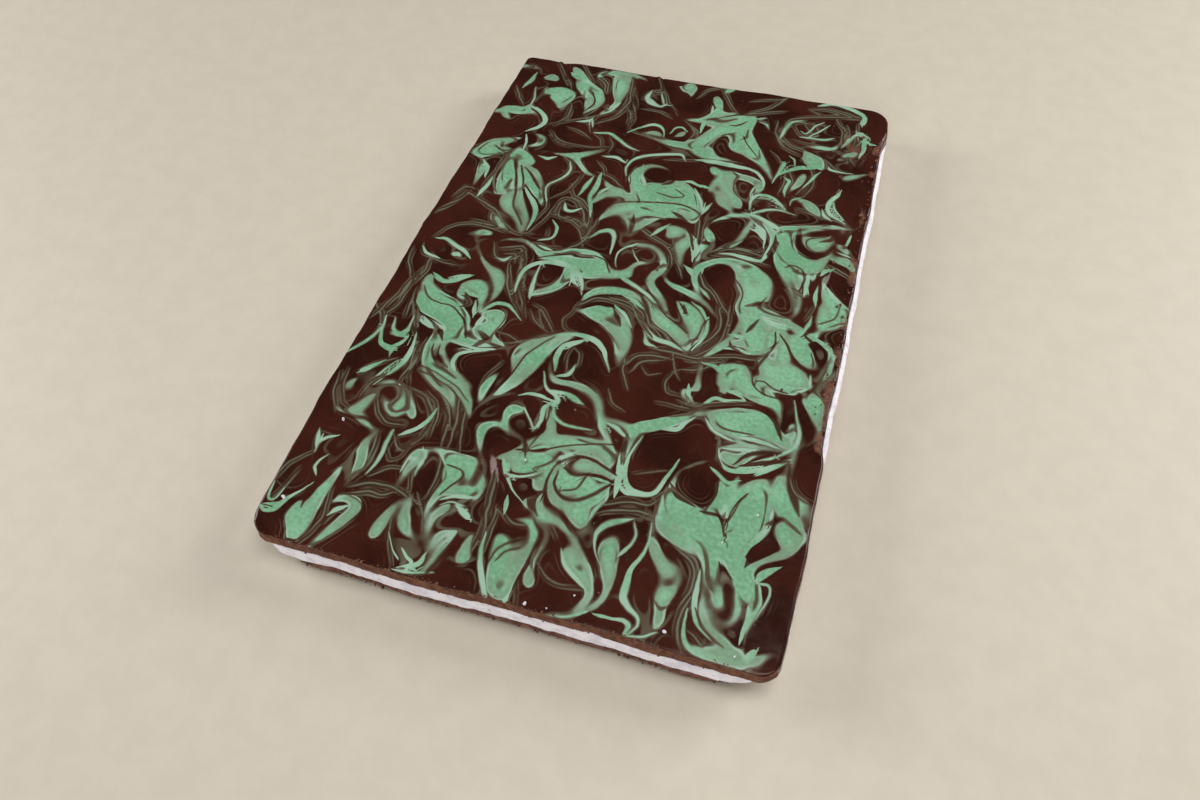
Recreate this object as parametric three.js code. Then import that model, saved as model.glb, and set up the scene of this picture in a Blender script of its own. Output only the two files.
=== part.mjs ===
// Mint slice: one slab of three layers, a biscuit base, a mint filling and a chocolate topping.
// Millimetres, +Z up. X runs across the slab and Y along it, and the cut front faces -Y.
// The origin is the centre of the slab's underside.
import * as THREE from 'three';

// Driving dimensions
const slabWidth = 180;
const slabLength = 280;
const baseThickness = 4.2;
const fillingThickness = 6.8;
const toppingThickness = 6;
const cellSize = 4.5; // side of one cell of the topping's face

// The plan's edges: how far each one bows out at its middle, and wanders along its length
const leftBow = 2.2;
const rightBow = 1.2;
const edgeWander = 0.4;
const wanderLength = 31;
const planShift = 0.5; // keeps the origin at the middle of the bowed plan

// Corner radii in the order front left, front right, back right, back left.
// Lower layers are rounder, so the topping overhangs them at the front corners.
const toppingCorners = [8, 9, 9, 4];
const fillingCorners = [13, 17, 11, 6];
const baseCorners = [21, 23, 13, 8];

// On the right the topping's edge has broken back from the filling, between these two places
const recessDepth = 1.8;
const recessFrom = -52;
const recessTo = 114;
const recessFade = 10;

// Sides: crumbled foot of the base, lean of the cut, round of the topping's upper edge
const footInset = 1;
const footHeight = 0.9;
const jointInset = 0.3; // both layers draw in a little where they meet
const bulge = 0.6; // height over which a side swells out from that joint
const upperRound = 1.3;
const sideLean = 0.4; // how far the topping's side stands back from the base's
const roughness = 0.16;
const roughLength = 5;
const seamWave = 0.55; // how far the lines between the layers rise and fall
const seamMargin = 9; // width of the rim over which they do

// Crags where a skewer lifted the setting topping: hollows with a lip pushed up ahead of them.
// Each has a place, a turn in degrees, a length, a width, a depth and the lip's height.
const crags = [
  { x: -21, y: -93, turn: -58, length: 12, width: 5, depth: 2.4, lip: 0.7 },
  { x: -8, y: -104, turn: -35, length: 9, width: 4, depth: 1.2, lip: 0.5 },
  { x: -17, y: 120, turn: 20, length: 8, width: 6, depth: 1.8, lip: 0.6 },
  { x: -29, y: 123, turn: -65, length: 12, width: 4, depth: 1, lip: 0.5 },
  { x: -65, y: 131, turn: -58, length: 12, width: 4, depth: 0.8, lip: 0.4 },
  { x: 72, y: 110, turn: 25, length: 11, width: 5, depth: 1.6, lip: 0.6 },
  { x: 77, y: 96, turn: 15, length: 9, width: 4, depth: 1.3, lip: 0.5 },
  { x: 83, y: 55, turn: 78, length: 12, width: 4, depth: 1.4, lip: 0.4 },
  { x: 40, y: -40, turn: -85, length: 8, width: 4, depth: 1, lip: 0.5 },
  { x: -74, y: 106, turn: 68, length: 8, width: 4, depth: 0.8, lip: 0.5 },
];
const undulation = 0.3;

const slabHeight = baseThickness + fillingThickness + toppingThickness;
const columns = Math.round(slabWidth / cellSize);
const rows = Math.round(slabLength / cellSize);

// Smooth step from 0 at a to 1 at b.
function smooth(a, b, t) {
  const s = THREE.MathUtils.clamp((t - a) / (b - a), 0, 1);
  return s * s * (3 - 2 * s);
}

// A gentle wave that never repeats within the slab, between about -1 and 1.
function wave(t, phase) {
  return 0.6 * Math.sin(t + phase) + 0.4 * Math.sin(2.3 * t + 1.7 * phase);
}

// Part of the right edge that has broken back, 0 to 1 along the slab.
function brokenBack(y) {
  return smooth(recessFrom - recessFade, recessFrom, y) * (1 - smooth(recessTo, recessTo + recessFade, y));
}

// Maps u and v from -1 to 1 onto the rounded plan of a ring, with its bowed and wandering edges.
function plan(u, v, ring) {
  const halfX = slabWidth / 2 - ring.inset;
  const halfY = slabLength / 2 - ring.inset;
  const radius = ring.corners[v < 0 ? (u < 0 ? 0 : 1) : (u < 0 ? 3 : 2)];
  let x = u * halfX;
  let y = v * halfY;
  const a = (Math.abs(x) - halfX + radius) / radius;
  const b = (Math.abs(y) - halfY + radius) / radius;
  if (a > 0 && b > 0) {
    x = Math.sign(x) * (halfX - radius + radius * a * Math.sqrt(1 - b * b / 2));
    y = Math.sign(y) * (halfY - radius + radius * b * Math.sqrt(1 - a * a / 2));
  }
  const bow = (u < 0 ? leftBow : rightBow) * (1 - v * v);
  const acrossX = bow + edgeWander * wave(v * slabLength / wanderLength, u < 0 ? 0.4 : 2.1);
  const acrossY = edgeWander * wave(u * slabWidth / wanderLength, v < 0 ? 3.2 : 5.3);
  const rough = ring.rough * wave((x + 1.3 * y) / roughLength, ring.phase);
  x += Math.sign(u) * Math.abs(u) ** 3 * (acrossX + rough);
  y += Math.sign(v) * Math.abs(v) ** 3 * (acrossY + rough);
  x -= ring.recess * recessDepth * brokenBack(y) * Math.max(0, u) ** 8;
  return [x + planShift, y];
}

// Height of the topping's face: a gentle undulation and the crags.
function toppingFace(x, y) {
  let z = slabHeight + undulation * (wave(x / 23, 1.3) * wave(y / 31, 0.2));
  for (const crag of crags) {
    const turn = THREE.MathUtils.degToRad(crag.turn);
    const along = ((x - crag.x) * Math.cos(turn) + (y - crag.y) * Math.sin(turn)) / crag.length;
    const across = ((y - crag.y) * Math.cos(turn) - (x - crag.x) * Math.sin(turn)) / crag.width;
    z -= crag.depth * Math.exp(-(along ** 2) - across ** 2);
    z += crag.lip * Math.exp(-((along - 0.4) ** 2) - (Math.abs(across) - 1.7) ** 2);
  }
  return z;
}

// Heights of the two seams round the sides, where one layer gives way to the next.
function baseSeam(x, y) {
  return baseThickness + seamWave * wave((x + 0.8 * y) / 9, 0.9);
}
function fillingSeam(x, y) {
  return baseThickness + fillingThickness + seamWave * wave((x - 0.7 * y) / 11, 4.1);
}

// A ring round the slab: its inset from the nominal plan, its corners, and its height at a point.
function ring(inset, corners, height, options = {}) {
  return { inset, corners, height, rough: roughness, phase: 0, recess: 0, ...options };
}

// The point of a ring at u and v.
function ringPoint(u, v, shape) {
  const [x, y] = plan(u, v, shape);
  return new THREE.Vector3(x, y, shape.height(x, y));
}

// Grid parameter of step i out of n, from -1 to 1.
const gridStep = (i, n) => -1 + 2 * i / n;

// The points of a ring, counter-clockwise seen from above, one for each step of the grid's border.
function loop(shape) {
  const border = [];
  for (let i = 0; i < columns; i++) border.push([gridStep(i, columns), -1]);
  for (let j = 0; j < rows; j++) border.push([1, gridStep(j, rows)]);
  for (let i = columns; i > 0; i--) border.push([gridStep(i, columns), 1]);
  for (let j = rows; j > 0; j--) border.push([-1, gridStep(j, rows)]);
  return border.map(([u, v]) => ringPoint(u, v, shape));
}

// Triangles between two loops, facing out when the second is above or inside the first.
// A turned strip splits its cells along the other diagonal, to match a neighbour's strip.
function strip(lower, upper, turned = false) {
  const triangles = [];
  lower.forEach((a, i) => {
    const next = (i + 1) % lower.length;
    const [b, c, d] = [lower[next], upper[next], upper[i]];
    if (turned) triangles.push([a, b, d], [b, c, d]);
    else triangles.push([a, b, c], [a, c, d]);
  });
  return triangles;
}

// Flat lid on a loop, facing up or, when it is an underside, down.
function lid(points, underside = false) {
  const outline = points.map((p) => new THREE.Vector2(p.x, p.y));
  const faces = THREE.ShapeUtils.triangulateShape(outline, []);
  return faces.map((f) => (underside ? [f[2], f[1], f[0]] : f).map((i) => points[i]));
}

// The topping's upper face: a grid over the whole plan of its last ring.
function face(shape) {
  const triangles = [];
  for (let j = 0; j < rows; j++) {
    for (let i = 0; i < columns; i++) {
      const corner = (di, dj) => ringPoint(gridStep(i + di, columns), gridStep(j + dj, rows), shape);
      const [a, b, c, d] = [corner(0, 0), corner(1, 0), corner(1, 1), corner(0, 1)];
      const risesOutward = (i < columns / 2) === (j < rows / 2); // the diagonal runs to the corner
      if (risesOutward) triangles.push([a, b, c], [a, c, d]);
      else triangles.push([a, b, d], [b, c, d]);
    }
  }
  return triangles;
}

// One layer as a mesh.
function layer(name, triangles, color, roughness) {
  const geometry = new THREE.BufferGeometry().setFromPoints(triangles.flat());
  geometry.computeVertexNormals();
  const material = new THREE.MeshStandardMaterial({ color, roughness, metalness: 0 });
  const mesh = new THREE.Mesh(geometry, material);
  mesh.name = name;
  return mesh;
}

// Seams shared by two layers: a loop round the side, and a level loop inside the rim
const fillingTop = baseThickness + fillingThickness;
const baseJoint = loop(ring(jointInset, baseCorners, baseSeam, { phase: 1.1 }));
const baseLevel = loop(ring(seamMargin, baseCorners, () => baseThickness, { rough: 0 }));
const fillingJoint = loop(ring(jointInset, fillingCorners, fillingSeam, { phase: 2.3, recess: 1 }));
const fillingLevel = loop(ring(seamMargin, fillingCorners, () => fillingTop, { rough: 0 }));

function chocolateBase() {
  const foot = loop(ring(footInset, baseCorners, () => 0, { phase: 0.3 }));
  const side = loop(ring(0, baseCorners, () => footHeight, { phase: 0.6 }));
  return [
    ...lid(foot, true),
    ...strip(foot, side),
    ...strip(side, baseJoint),
    ...strip(baseJoint, baseLevel),
    ...lid(baseLevel),
  ];
}

function mintFilling() {
  const lower = loop(ring(jointInset / 2, fillingCorners, (x, y) => baseSeam(x, y) + bulge, { phase: 1.6 }));
  const upper = loop(ring(0, fillingCorners, (x, y) => fillingSeam(x, y) - bulge, { phase: 2 }));
  return [
    ...lid(baseLevel, true),
    ...strip(baseLevel, baseJoint, true),
    ...strip(baseJoint, lower),
    ...strip(lower, upper),
    ...strip(upper, fillingJoint),
    ...strip(fillingJoint, fillingLevel),
    ...lid(fillingLevel),
  ];
}

function chocolateTop() {
  const options = { phase: 2.9, recess: 1 };
  const height = (drop) => (x, y) => toppingFace(x, y) - drop;
  const lower = loop(ring(sideLean / 2, toppingCorners, (x, y) => fillingSeam(x, y) + bulge, options));
  const shoulderPart = 0.3; // where a quarter round stands at 45 degrees, as a part of its radius
  const shoulderDrop = shoulderPart * upperRound;
  const side = loop(ring(sideLean, toppingCorners, height(upperRound), options));
  const shoulder = loop(ring(sideLean + shoulderDrop, toppingCorners, height(shoulderDrop), options));
  const rim = ring(sideLean + upperRound, toppingCorners, height(0), options);
  return [
    ...lid(fillingLevel, true),
    ...strip(fillingLevel, fillingJoint, true),
    ...strip(fillingJoint, lower),
    ...strip(lower, side),
    ...strip(side, shoulder),
    ...strip(shoulder, loop(rim)),
    ...face(rim),
  ];
}

const mintSlice = new THREE.Group();
mintSlice.add(layer('chocolate_base', chocolateBase(), 0x6b4030, 0.9));
mintSlice.add(layer('mint_filling', mintFilling(), 0xe8e3ee, 0.8));
mintSlice.add(layer('chocolate_top', chocolateTop(), 0x3a1d15, 0.35));

export default mintSlice;
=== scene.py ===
import math
import bpy
import numpy as np
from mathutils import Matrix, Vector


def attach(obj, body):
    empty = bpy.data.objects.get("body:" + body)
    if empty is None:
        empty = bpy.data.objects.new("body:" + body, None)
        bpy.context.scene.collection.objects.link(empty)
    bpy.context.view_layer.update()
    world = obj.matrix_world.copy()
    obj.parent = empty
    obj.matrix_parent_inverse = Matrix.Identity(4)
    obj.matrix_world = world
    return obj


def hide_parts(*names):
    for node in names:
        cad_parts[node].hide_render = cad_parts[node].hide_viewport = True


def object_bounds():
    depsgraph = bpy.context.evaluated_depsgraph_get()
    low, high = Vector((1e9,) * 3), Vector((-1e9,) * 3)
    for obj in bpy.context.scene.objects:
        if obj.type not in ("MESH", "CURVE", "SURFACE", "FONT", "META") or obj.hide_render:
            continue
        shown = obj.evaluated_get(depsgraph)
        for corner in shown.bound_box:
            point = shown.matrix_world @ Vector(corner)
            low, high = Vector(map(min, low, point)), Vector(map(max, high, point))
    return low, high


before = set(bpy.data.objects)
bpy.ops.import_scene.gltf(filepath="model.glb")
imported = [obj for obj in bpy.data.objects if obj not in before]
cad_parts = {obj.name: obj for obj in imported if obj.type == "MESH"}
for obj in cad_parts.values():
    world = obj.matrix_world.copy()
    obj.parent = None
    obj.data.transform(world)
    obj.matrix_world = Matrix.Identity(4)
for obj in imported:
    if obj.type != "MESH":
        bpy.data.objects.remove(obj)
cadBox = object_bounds()
mm = 0.001  # the shapes below are worked out in millimetres
print("frame loaded:", ", ".join(sorted(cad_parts)))

# The slab's plan and layers, as in the solids
slab = {
    "width": 180, "length": 280,
    "base": 4.2, "filling": 6.8, "topping": 6,
    "leftBow": 2.2, "rightBow": 1.2, "edgeWander": 0.4, "wanderLength": 31, "planShift": 0.5,
    "toppingCorners": (8, 7, 9, 2.5), "fillingCorners": (13, 17, 11, 6), "baseCorners": (21, 23, 13, 8),
    "recessDepth": 1.8, "recessFrom": -52, "recessTo": 114, "recessFade": 10,
    "roughness": 0.16, "roughLength": 5, "seamMargin": 9, "lidGap": 0.05,
    "seamWave": 0.55, "seamRagged": 0.8,
    "baseSeam": (-0.5, 0.8, 9, 0.9, 2.8),  # of a seam: rise, its wave's slant, length and phase, ragged size
    "fillingSeam": (0.2, -0.7, 11, 4.1, 3.2),
    "columns": 224, "rows": 348,  # cells of the topping's face, and points along the sides
}
slabHeight = slab["base"] + slab["filling"] + slab["topping"]
fillingTop = slab["base"] + slab["filling"]
cadTop = cadBox[1][2] / mm


# Smooth step from 0 at a to 1 at b.
def smooth(a, b, t):
    s = np.clip((t - a) / (b - a), 0, 1)
    return s * s * (3 - 2 * s)


# Two sines of unrelated lengths added, between about -1 and 1.
def wave(t, phase):
    return 0.6 * np.sin(t + phase) + 0.4 * np.sin(2.3 * t + 1.7 * phase)


# A random number from -1 to 1 for each point of a whole-number lattice, by mixing its bits.
def latticeValue(i, j, k, seed):
    h = i * 374761393 + j * 668265263 + k * 1103515245 + seed * 974711
    h = (h & 0xFFFFFFFF) ^ ((h & 0xFFFFFFFF) >> 13)
    h = (h * 1274126177) & 0xFFFFFFFF
    return (h ^ (h >> 16)) / 0x7FFFFFFF - 1


# Value noise: the lattice's numbers blended smoothly across each cell, between -1 and 1.
def cellNoise(x, y, z, seed):
    cell = [np.floor(c).astype(np.int64) for c in (x, y, z)]
    part = [c - f for c, f in zip((x, y, z), cell)]
    blend = [f * f * (3 - 2 * f) for f in part]
    total = 0
    for corner in range(8):
        bits = (corner & 1, corner >> 1 & 1, corner >> 2 & 1)
        weight = 1
        for b, f in zip(bits, blend):
            weight = weight * (f if b else 1 - f)
        total = total + weight * latticeValue(*(c + b for c, b in zip(cell, bits)), seed)
    return total


# Noise of a size in millimetres, with a half-sized layer of it added at half strength.
def lumps(x, y, z, size, seed):
    coarse = cellNoise(x / size, y / size, z / size, seed)
    fine = cellNoise(2.1 * x / size, 2.1 * y / size, 2.1 * z / size, seed + 1)
    return (coarse + 0.5 * fine) / 1.5


# Part of the right edge that has broken back, 0 to 1 along the slab.
def brokenBack(y):
    start, end, fade = slab["recessFrom"], slab["recessTo"], slab["recessFade"]
    return smooth(start - fade, start, y) * (1 - smooth(end, end + fade, y))


# Maps u and v from -1 to 1 onto the rounded plan of a ring: a rectangle whose corner squares are
# bent into quarter rounds, with edges that bow out, wander and, on the right, break back.
def plan(u, v, inset, corners, rough=1.0, phase=0.0, recess=0.0):
    halfX = slab["width"] / 2 - inset
    halfY = slab["length"] / 2 - inset
    radius = np.where(v < 0, np.where(u < 0, corners[0], corners[1]), np.where(u < 0, corners[3], corners[2]))
    x = u * halfX
    y = v * halfY
    a = np.clip((np.abs(x) - halfX + radius) / radius, 0, 1)
    b = np.clip((np.abs(y) - halfY + radius) / radius, 0, 1)
    inCorner = (a > 0) & (b > 0)
    x = np.where(inCorner, np.sign(x) * (halfX - radius + radius * a * np.sqrt(1 - b * b / 2)), x)
    y = np.where(inCorner, np.sign(y) * (halfY - radius + radius * b * np.sqrt(1 - a * a / 2)), y)
    bow = np.where(u < 0, slab["leftBow"], slab["rightBow"]) * (1 - v * v)
    wander = slab["edgeWander"]
    acrossX = bow + wander * wave(v * slab["length"] / slab["wanderLength"], np.where(u < 0, 0.4, 2.1))
    acrossY = wander * wave(u * slab["width"] / slab["wanderLength"], np.where(v < 0, 3.2, 5.3))
    ripple = rough * slab["roughness"] * wave((x + 1.3 * y) / slab["roughLength"], phase)
    x = x + np.sign(u) * np.abs(u) ** 3 * (acrossX + ripple)
    y = y + np.sign(v) * np.abs(v) ** 3 * (acrossY + ripple)
    x = x - recess * slab["recessDepth"] * brokenBack(y) * np.maximum(0, u) ** 8
    return x + slab["planShift"], y


# Parameters of the plan's border, counter-clockwise seen from above, starting at the front left.
def borderSteps():
    across = np.linspace(-1, 1, slab["columns"] + 1)
    along = np.linspace(-1, 1, slab["rows"] + 1)
    u = np.concatenate([across[:-1], np.ones(slab["rows"]), across[:0:-1], -np.ones(slab["rows"])])
    v = np.concatenate([-np.ones(slab["columns"]), along[:-1], np.ones(slab["columns"]), along[:0:-1]])
    return u, v


borderU, borderV = borderSteps()


# Unit normals of a closed loop in plan: its tangent turned to the right.
def outward(x, y):
    tx = np.roll(x, -1) - np.roll(x, 1)
    ty = np.roll(y, -1) - np.roll(y, 1)
    size = np.hypot(tx, ty)
    return ty / size, -tx / size


# Height of a seam round the sides: a slow wave with a ragged, finer jitter on it.
def seam(x, y, level, shape, seed):
    rise, slant, length, phase, size = shape
    ragged = slab["seamRagged"] * lumps(x, y, 0 * x, size, seed)
    return level + rise + slab["seamWave"] * wave((x + slant * y) / length, phase) + ragged


def baseSeam(x, y):
    return seam(x, y, slab["base"], slab["baseSeam"], 11)


def fillingSeam(x, y):
    return seam(x, y, fillingTop, slab["fillingSeam"], 12)


# A new object in the scene, from points in millimetres and faces.
def newPiece(name, points, faces):
    mesh = bpy.data.meshes.new(name)
    mesh.from_pydata((np.asarray(points) * mm).tolist(), [], faces)
    piece = bpy.data.objects.new(name, mesh)
    bpy.context.scene.collection.objects.link(piece)
    return piece


# Marbling, drawn as strokes of a skewer: x, y and half-width in millimetres of each point in turn. A few are
# painted light rather than marbling: one green stroke is a painted highlight near the back right corner, and
# two mixed strokes are painted sheen along ridges near the back.
mintAndHighlightStrokes = [
    (-89,130.5,1.3, -85.5,131,1.6, -81.5,130.3,.6), (-81,125,.6, -81.5,120,1.3, -82.8,116,.8),
    (-75,124,1.4, -72,124.8,2.6, -69.5,123.5,1.4),
    (-69.5,114.5,2.6, -63,115,3.8, -59.5,112.5,3.2, -59.8,105,1.3, -60,101.5,.4),
    (-64.5,136,.9, -61.5,132.5,2.3, -58,129,2, -53,126,.8),
    (-50,131.5,1.2, -49,134,1.8, -44,136,2, -38,137,1.8, -30,136,1, -25,133,.5),
    (-41.5,132,1.5, -38,127.5,4.2, -36.5,120,3, -36,113,1.4, -40,105,1),
    (-56,124,1.4, -49,120,3.2, -45.5,115,3.6, -45,110,2.2, -47,105,1, -48.5,102,.4),
    (-35,112,.8, -37,107,.7, -40,104,.4), (-4.9,134.6,3.2, -3.9,131.3,1.7, -3,127.5,.6, -2.7,125,.3),
    (-89,93,1.2, -84,97,1.6, -77,97,2.6, -72,96.5,1, -68.5,94.3,.5, -67,91.5,.3),
    (-76.3,97,2, -75.6,102,1.1, -73.9,107,.6, -72.3,113,.4, -71.9,117,.2),
    (-73.3,100.8,.8, -69,98,1.1, -65.7,95,1.2, -64.3,91,1.2, -65.5,87.3,1.1, -69,84,.7),
    (-85.5,96,1.6, -84.5,92,1.7, -82,90,1), (-66,82,.6, -62,80,1.6, -61,76,1.6, -64,73,1, -67,72,.5),
    (-86.5,65,2, -82.5,70,2.8, -77,73.5,2.3, -72,76.3,1), (-86,62.5,3, -80,65,3.6, -74.5,67,2.4),
    (-68.5,69,1, -64.8,65,3, -61,62.3,2.2), (-69,79,.4, -67.5,75,.6, -67,70,.5),
    (-31.5,79,.6, -37,75,1.5, -43,71.5,2, -50,70.8,.9, -55.5,70.6,.4),
    (-43,71.3,1.6, -38.7,66,1.3, -34,61.7,1.1, -29,60.5,.6), (-57,67,.6, -54.5,66.5,1, -52.8,67.5,.7),
    (-29,75,.6, -25,75.5,1, -21,73.5,.6), (-38,90,.6, -32,90.8,.9, -26,87,1, -21,83.7,.6, -17,82.4,.3),
    (-24,94.5,.4, -20,98.8,.6, -15,102.2,.9, -11,101.6,.8, -8.8,98.5,.4, -7.8,95,.2),
    (-16,96,.8, -12,96.5,1.5, -8.5,95.3,.7), (-17,93.8,.4, -11,92.2,.9, -4,91.2,1.5, 3,91,1.8),
    (-5.7,98.5,.3, -4.3,102.3,.5, -1.5,103.9,.6, .8,102,.4),
    (-17.3,65.5,.4, -18.6,70,.6, -17,75.5,.8, -13,79.3,.9, -7,82,.9, 0,84.3,.9, 3.5,84.6,.8, 5.3,82,.4),
    (-13,64,2.6, -12,69,2.4, -8.5,73.3,1.3, -3,74.2,.8, 1.5,72.5,.5, 3.5,70,.3),
    (9,129.5,1.7, 10.2,126.8,2.2, 11.7,122.8,1.8, 11.6,118.5,1.9, 9.5,115,2, 7,112.8,1.3),
    (0,110,.8, 5,110.8,1.4, 12,113,1.8, 20,117,1.6, 27,120,.8),
    (24,115,3.4, 20,110,4, 14,103.5,3.6, 10,96,3.6, 5,91.5,2.2, -5,91.3,1.4),
    (29,118,1.8, 27,110,3, 25,102,2.8, 25,96,2.5, 30,93,1.5, 36.5,89,1, 41,85,.8, 44.5,80,.5, 47.5,74,.4,
     49.5,69.5,.3), (27.5,107.5,2.4, 32.3,100.7,2.1, 37.3,92.7,1.7, 41.3,86.5,1.1, 44.3,80,.6),
    (5,94,2, 10,89,3, 15,87,1.8, 22,86.5,1, 30,86,.6),
    (56.5,105.3,.7, 62,106.6,1.4, 67.5,108.3,1.2, 69.6,112,.5),
    (58.5,137,.8, 62,138.6,1, 67,138.6,1.3, 73.5,136,1.3, 78,132.3,1.1, 77.6,127.5,1.3),
    (71.7,100.2,.9, 74.7,102.8,1.9, 78,106,1.1), (80.2,115.5,.9, 80.6,110,1.1, 79.8,105,.8),
    (78.2,119.5,1.3, 79.8,118.8,.9), (75.7,87.6,1.3, 78.5,89,1.5, 82,91.2,1, 85,93.3,.5),
    (55.5,101.5,.8, 58.5,98.5,2.6, 62,97,2.4, 64.5,94.5,1.2), (56.5,95,2, 61,94,2.4, 65,92,1.2),
    (48.3,83.3,.4, 51,86.5,.9, 55,89.3,1.2, 60,90.8,.9),
    (48.3,89.8,1.1, 47.6,85.5,1, 46.5,81,.6, 45.9,77.5,.3),
    (58.2,85.3,1.1, 57.6,82.5,1.8, 56.8,79,1.6, 55,75.3,1, 53.5,72.5,.4),
    (11,83.3,.5, 15,84,1, 24,84,1, 33,83.3,.8, 38,81.7,.8, 41.2,78,.8, 42.5,74,.5, 42.3,70.5,.3),
    (18.8,79,1.6, 20.3,77.5,2.3),
    (21,65,1.3, 22,70,1.7, 24,74.5,1.8, 28.5,76.8,1.9, 34,77,2, 38.5,75.5,2.1, 41.2,72.3,2, 40.7,69,1.2),
    (25,70,2, 29,65,2.6, 33,60.5,2.8, 35,58,1.6),
    (58.5,69.3,.8, 61.5,68.2,1.8, 64.5,65.7,2.6, 67.3,62.8,1.7, 68.8,60.8,.6),
    (75,79.3,.4, 74,75.5,.8, 72.2,72,.9, 71.2,68,.9, 72.2,64,1, 75.5,61.2,.6, 79,59.8,.3),
    (39.6,58.5,.5, 39.3,63,.7, 40.8,66.8,.9, 44.5,67.9,.9, 48.5,66.8,.9, 52,63.8,.7, 54.5,61,.4),
    (-82.5,57,1, -80.8,52,2, -80.3,47,1.3, -80,42,.7),
    (-70,66,2, -70,58,3, -68,50,3.6, -67,43,3.2, -68,39,1.4),
    (-66,63,1.2, -61.5,56,1.5, -57.3,50,2.2, -52,44.3,2.2, -48,39,1.4, -45.8,35,.5),
    (-61,58.3,1, -57,57,1.4, -54,53.5,1.4, -51.5,50,1.1, -50,46.5,.6),
    (-63.3,44.5,.6, -62,39,1.9, -61,34.5,3, -57,29,2, -53,25,1.6, -50.8,20.5,1),
    (-66,60.5,.5, -63.7,54.6,.9, -61,48,1.1, -58.2,41,1.6, -55.8,36.3,2, -52.8,31.5,1.7, -50.3,27,1.3,
     -49,22,.9), (-65,26,.8, -63.3,23.6,1.9, -60,21,1.5, -57,19,1),
    (-43.5,66,.4, -42,61,.6, -44,55.5,.6, -48,50,.6, -47.7,45,.5, -45.3,39.5,.4),
    (-31,58,.7, -32,53,1.1, -33,48,.5), (-28,61,.8, -27.5,54,1.3, -28,47,1, -25.8,41,.9, -24.3,36,.4),
    (-25,59,.7, -21,55,1.8, -16,53,2.4, -22,50,1.8, -26,44,1.2),
    (-13,64,2.2, -10,58,3, -6,54,4, -3,50,4, -8,46,3.6, -14,42,2.6, -18,38,1.5, -19.7,34,.8, -20.3,30,.4),
    (-4,60,3, 4,58,6, 11,57,6, 16,52,4.4, 19,45,1.4), (0,48,4, 8,47,4, -4,43,2.6, -6,37,2, -5,30,.8),
    (-36.8,39.3,.5, -35.6,36.5,.9, -33,36.2,.9, -30.2,38.3,.5),
    (-38.3,28.2,.4, -36,25.3,.7, -35.2,21.5,.7, -36.2,18.3,.6, -40,16.3,.4),
    (-20,23.5,.4, -17.5,27.2,.9, -13.8,29.3,1.3, -11,27,1.1, -9.9,22,.7, -9.6,17,.4),
    (-57,10.5,.4, -52.5,13.3,.8, -46,14,1, -41,11.5,1.2, -36,8.8,1.7, -30,10.8,1.5, -24,13.2,1.3),
    (-26,13,1.6, -18,14.5,1.4, -12,12,1.3, -7,7,.9, -2,6,1),
    (-36,6,.8, -28,8,1.6, -20,7.5,3, -13,7,4, -6,5,2.4, 0,7,2),
    (-32.5,-13,1.2, -28,-10,1.7, -24.2,-6,2.2, -22.7,-1.5,2.2, -23.5,3,1.6),
    (-40,-13,.5, -41,-5,.9, -38.7,1,1.1, -33.5,4.6,1.1, -26,5.3,1.3, -20,3.2,1.3, -17,0,1, -15.2,-4,.7,
     -14.3,-8,.3), (-68,12.5,.8, -65,13.8,1.8, -61.5,14.2,1.2),
    (-81.5,5.7,.5, -78,6.2,.9, -73,3.7,1, -68.5,2,1.1, -65.5,-.5,.6),
    (-72,-1.5,1.4, -70,-.5,1.2, -68,-2.5,.8, -67.5,-4,.4),
    (-66,10,.4, -64,6,.5, -60,.5,.8, -55,-4.5,1.5, -50,-8,2.8, -47,-14,2, -46.8,-20,.9, -48.3,-26,.4),
    (25.2,43.5,.4, 28,47.5,.9, 33,51,1.2, 40,53.3,1.3, 47,51,1.4, 51.5,45.5,1.4, 53.3,40,1, 52,34,.6,
     51,29,.5), (42.5,51,1, 41.3,45,1.3, 40.2,40,1.4, 38,36.5,.7, 35.5,34.3,.3),
    (44.5,49,.7, 47.5,46,1.2, 49.5,42,.6, 50,37,.3),
    (41.5,55.3,.5, 44.5,57.6,.9, 48,59.6,.8, 53,60.2,.5, 58,59.3,.3),
    (25.3,40.5,1.2, 27,37.5,2.2, 29.5,33.5,1), (25.5,32,1, 27.5,30.5,1.9, 26.5,26,1.2, 24.3,19,.5),
    (10,37,1.8, 12.8,35.8,3.3, 11.5,33.5,2.2),
    (17.8,36.5,1, 20,33,1.9, 17.5,28.8,3, 18,23.5,1.5, 19.5,17,.6),
    (4.3,31.5,.5, 6,34.5,1, 8,37.3,.7, 9.3,39.2,.3),
    (30,6,1, 27,12,1.4, 27.5,18,1.6, 32,23,1.5, 38,25.5,1.4, 44,25,1.8, 50,21,3.2, 54,16,3.8, 55,8,3),
    (46,21,1.6, 48,14,3.2, 51,9,4.6, 48.5,2.5,3, 49,-2.5,1.5, 48.7,-6,.5),
    (0,24,1.2, 6,24.5,1.2, 11,21,1.3, 13.3,15,1.4, 11,9.5,1.9, 10.3,6,1.8, 12.5,2,1.7, 16.5,-2,1.4,
     21,-8,.8),
    (16.5,13.5,.3, 15.4,10,.6, 17.5,6.9,1, 21,5.2,1.4, 25.5,4,1.5, 30,2,1.3, 35,-.8,1, 40,-6,.6),
    (.3,6.5,1.5, .8,10,1.2, 3,13.8,1.2, 6,14.6,.9, 9,16.3,.4),
    (-1.5,23.6,.7, -4.7,21,.5, -6.7,17,.4, -6.3,12.5,.3, -5.3,10,.2),
    (0,4,1, 6,1.1,.9, 12,-2.5,.8, 18,-8,.5), (11,-4,.8, 15,-9,2.2, 21,-14,3.2, 28,-18,2.6, 32,-23,1.2),
    (24,-2.5,.8, 27,-4.3,2.6, 31,-8.5,4, 34,-14,3.2, 34.7,-19,1.6, 33.5,-23.5,.6),
    (55,49.3,1.5, 61,50,2.8, 67,53,1.8, 73,55,1.4, 79,56.7,.9, 85,59,.5),
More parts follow.
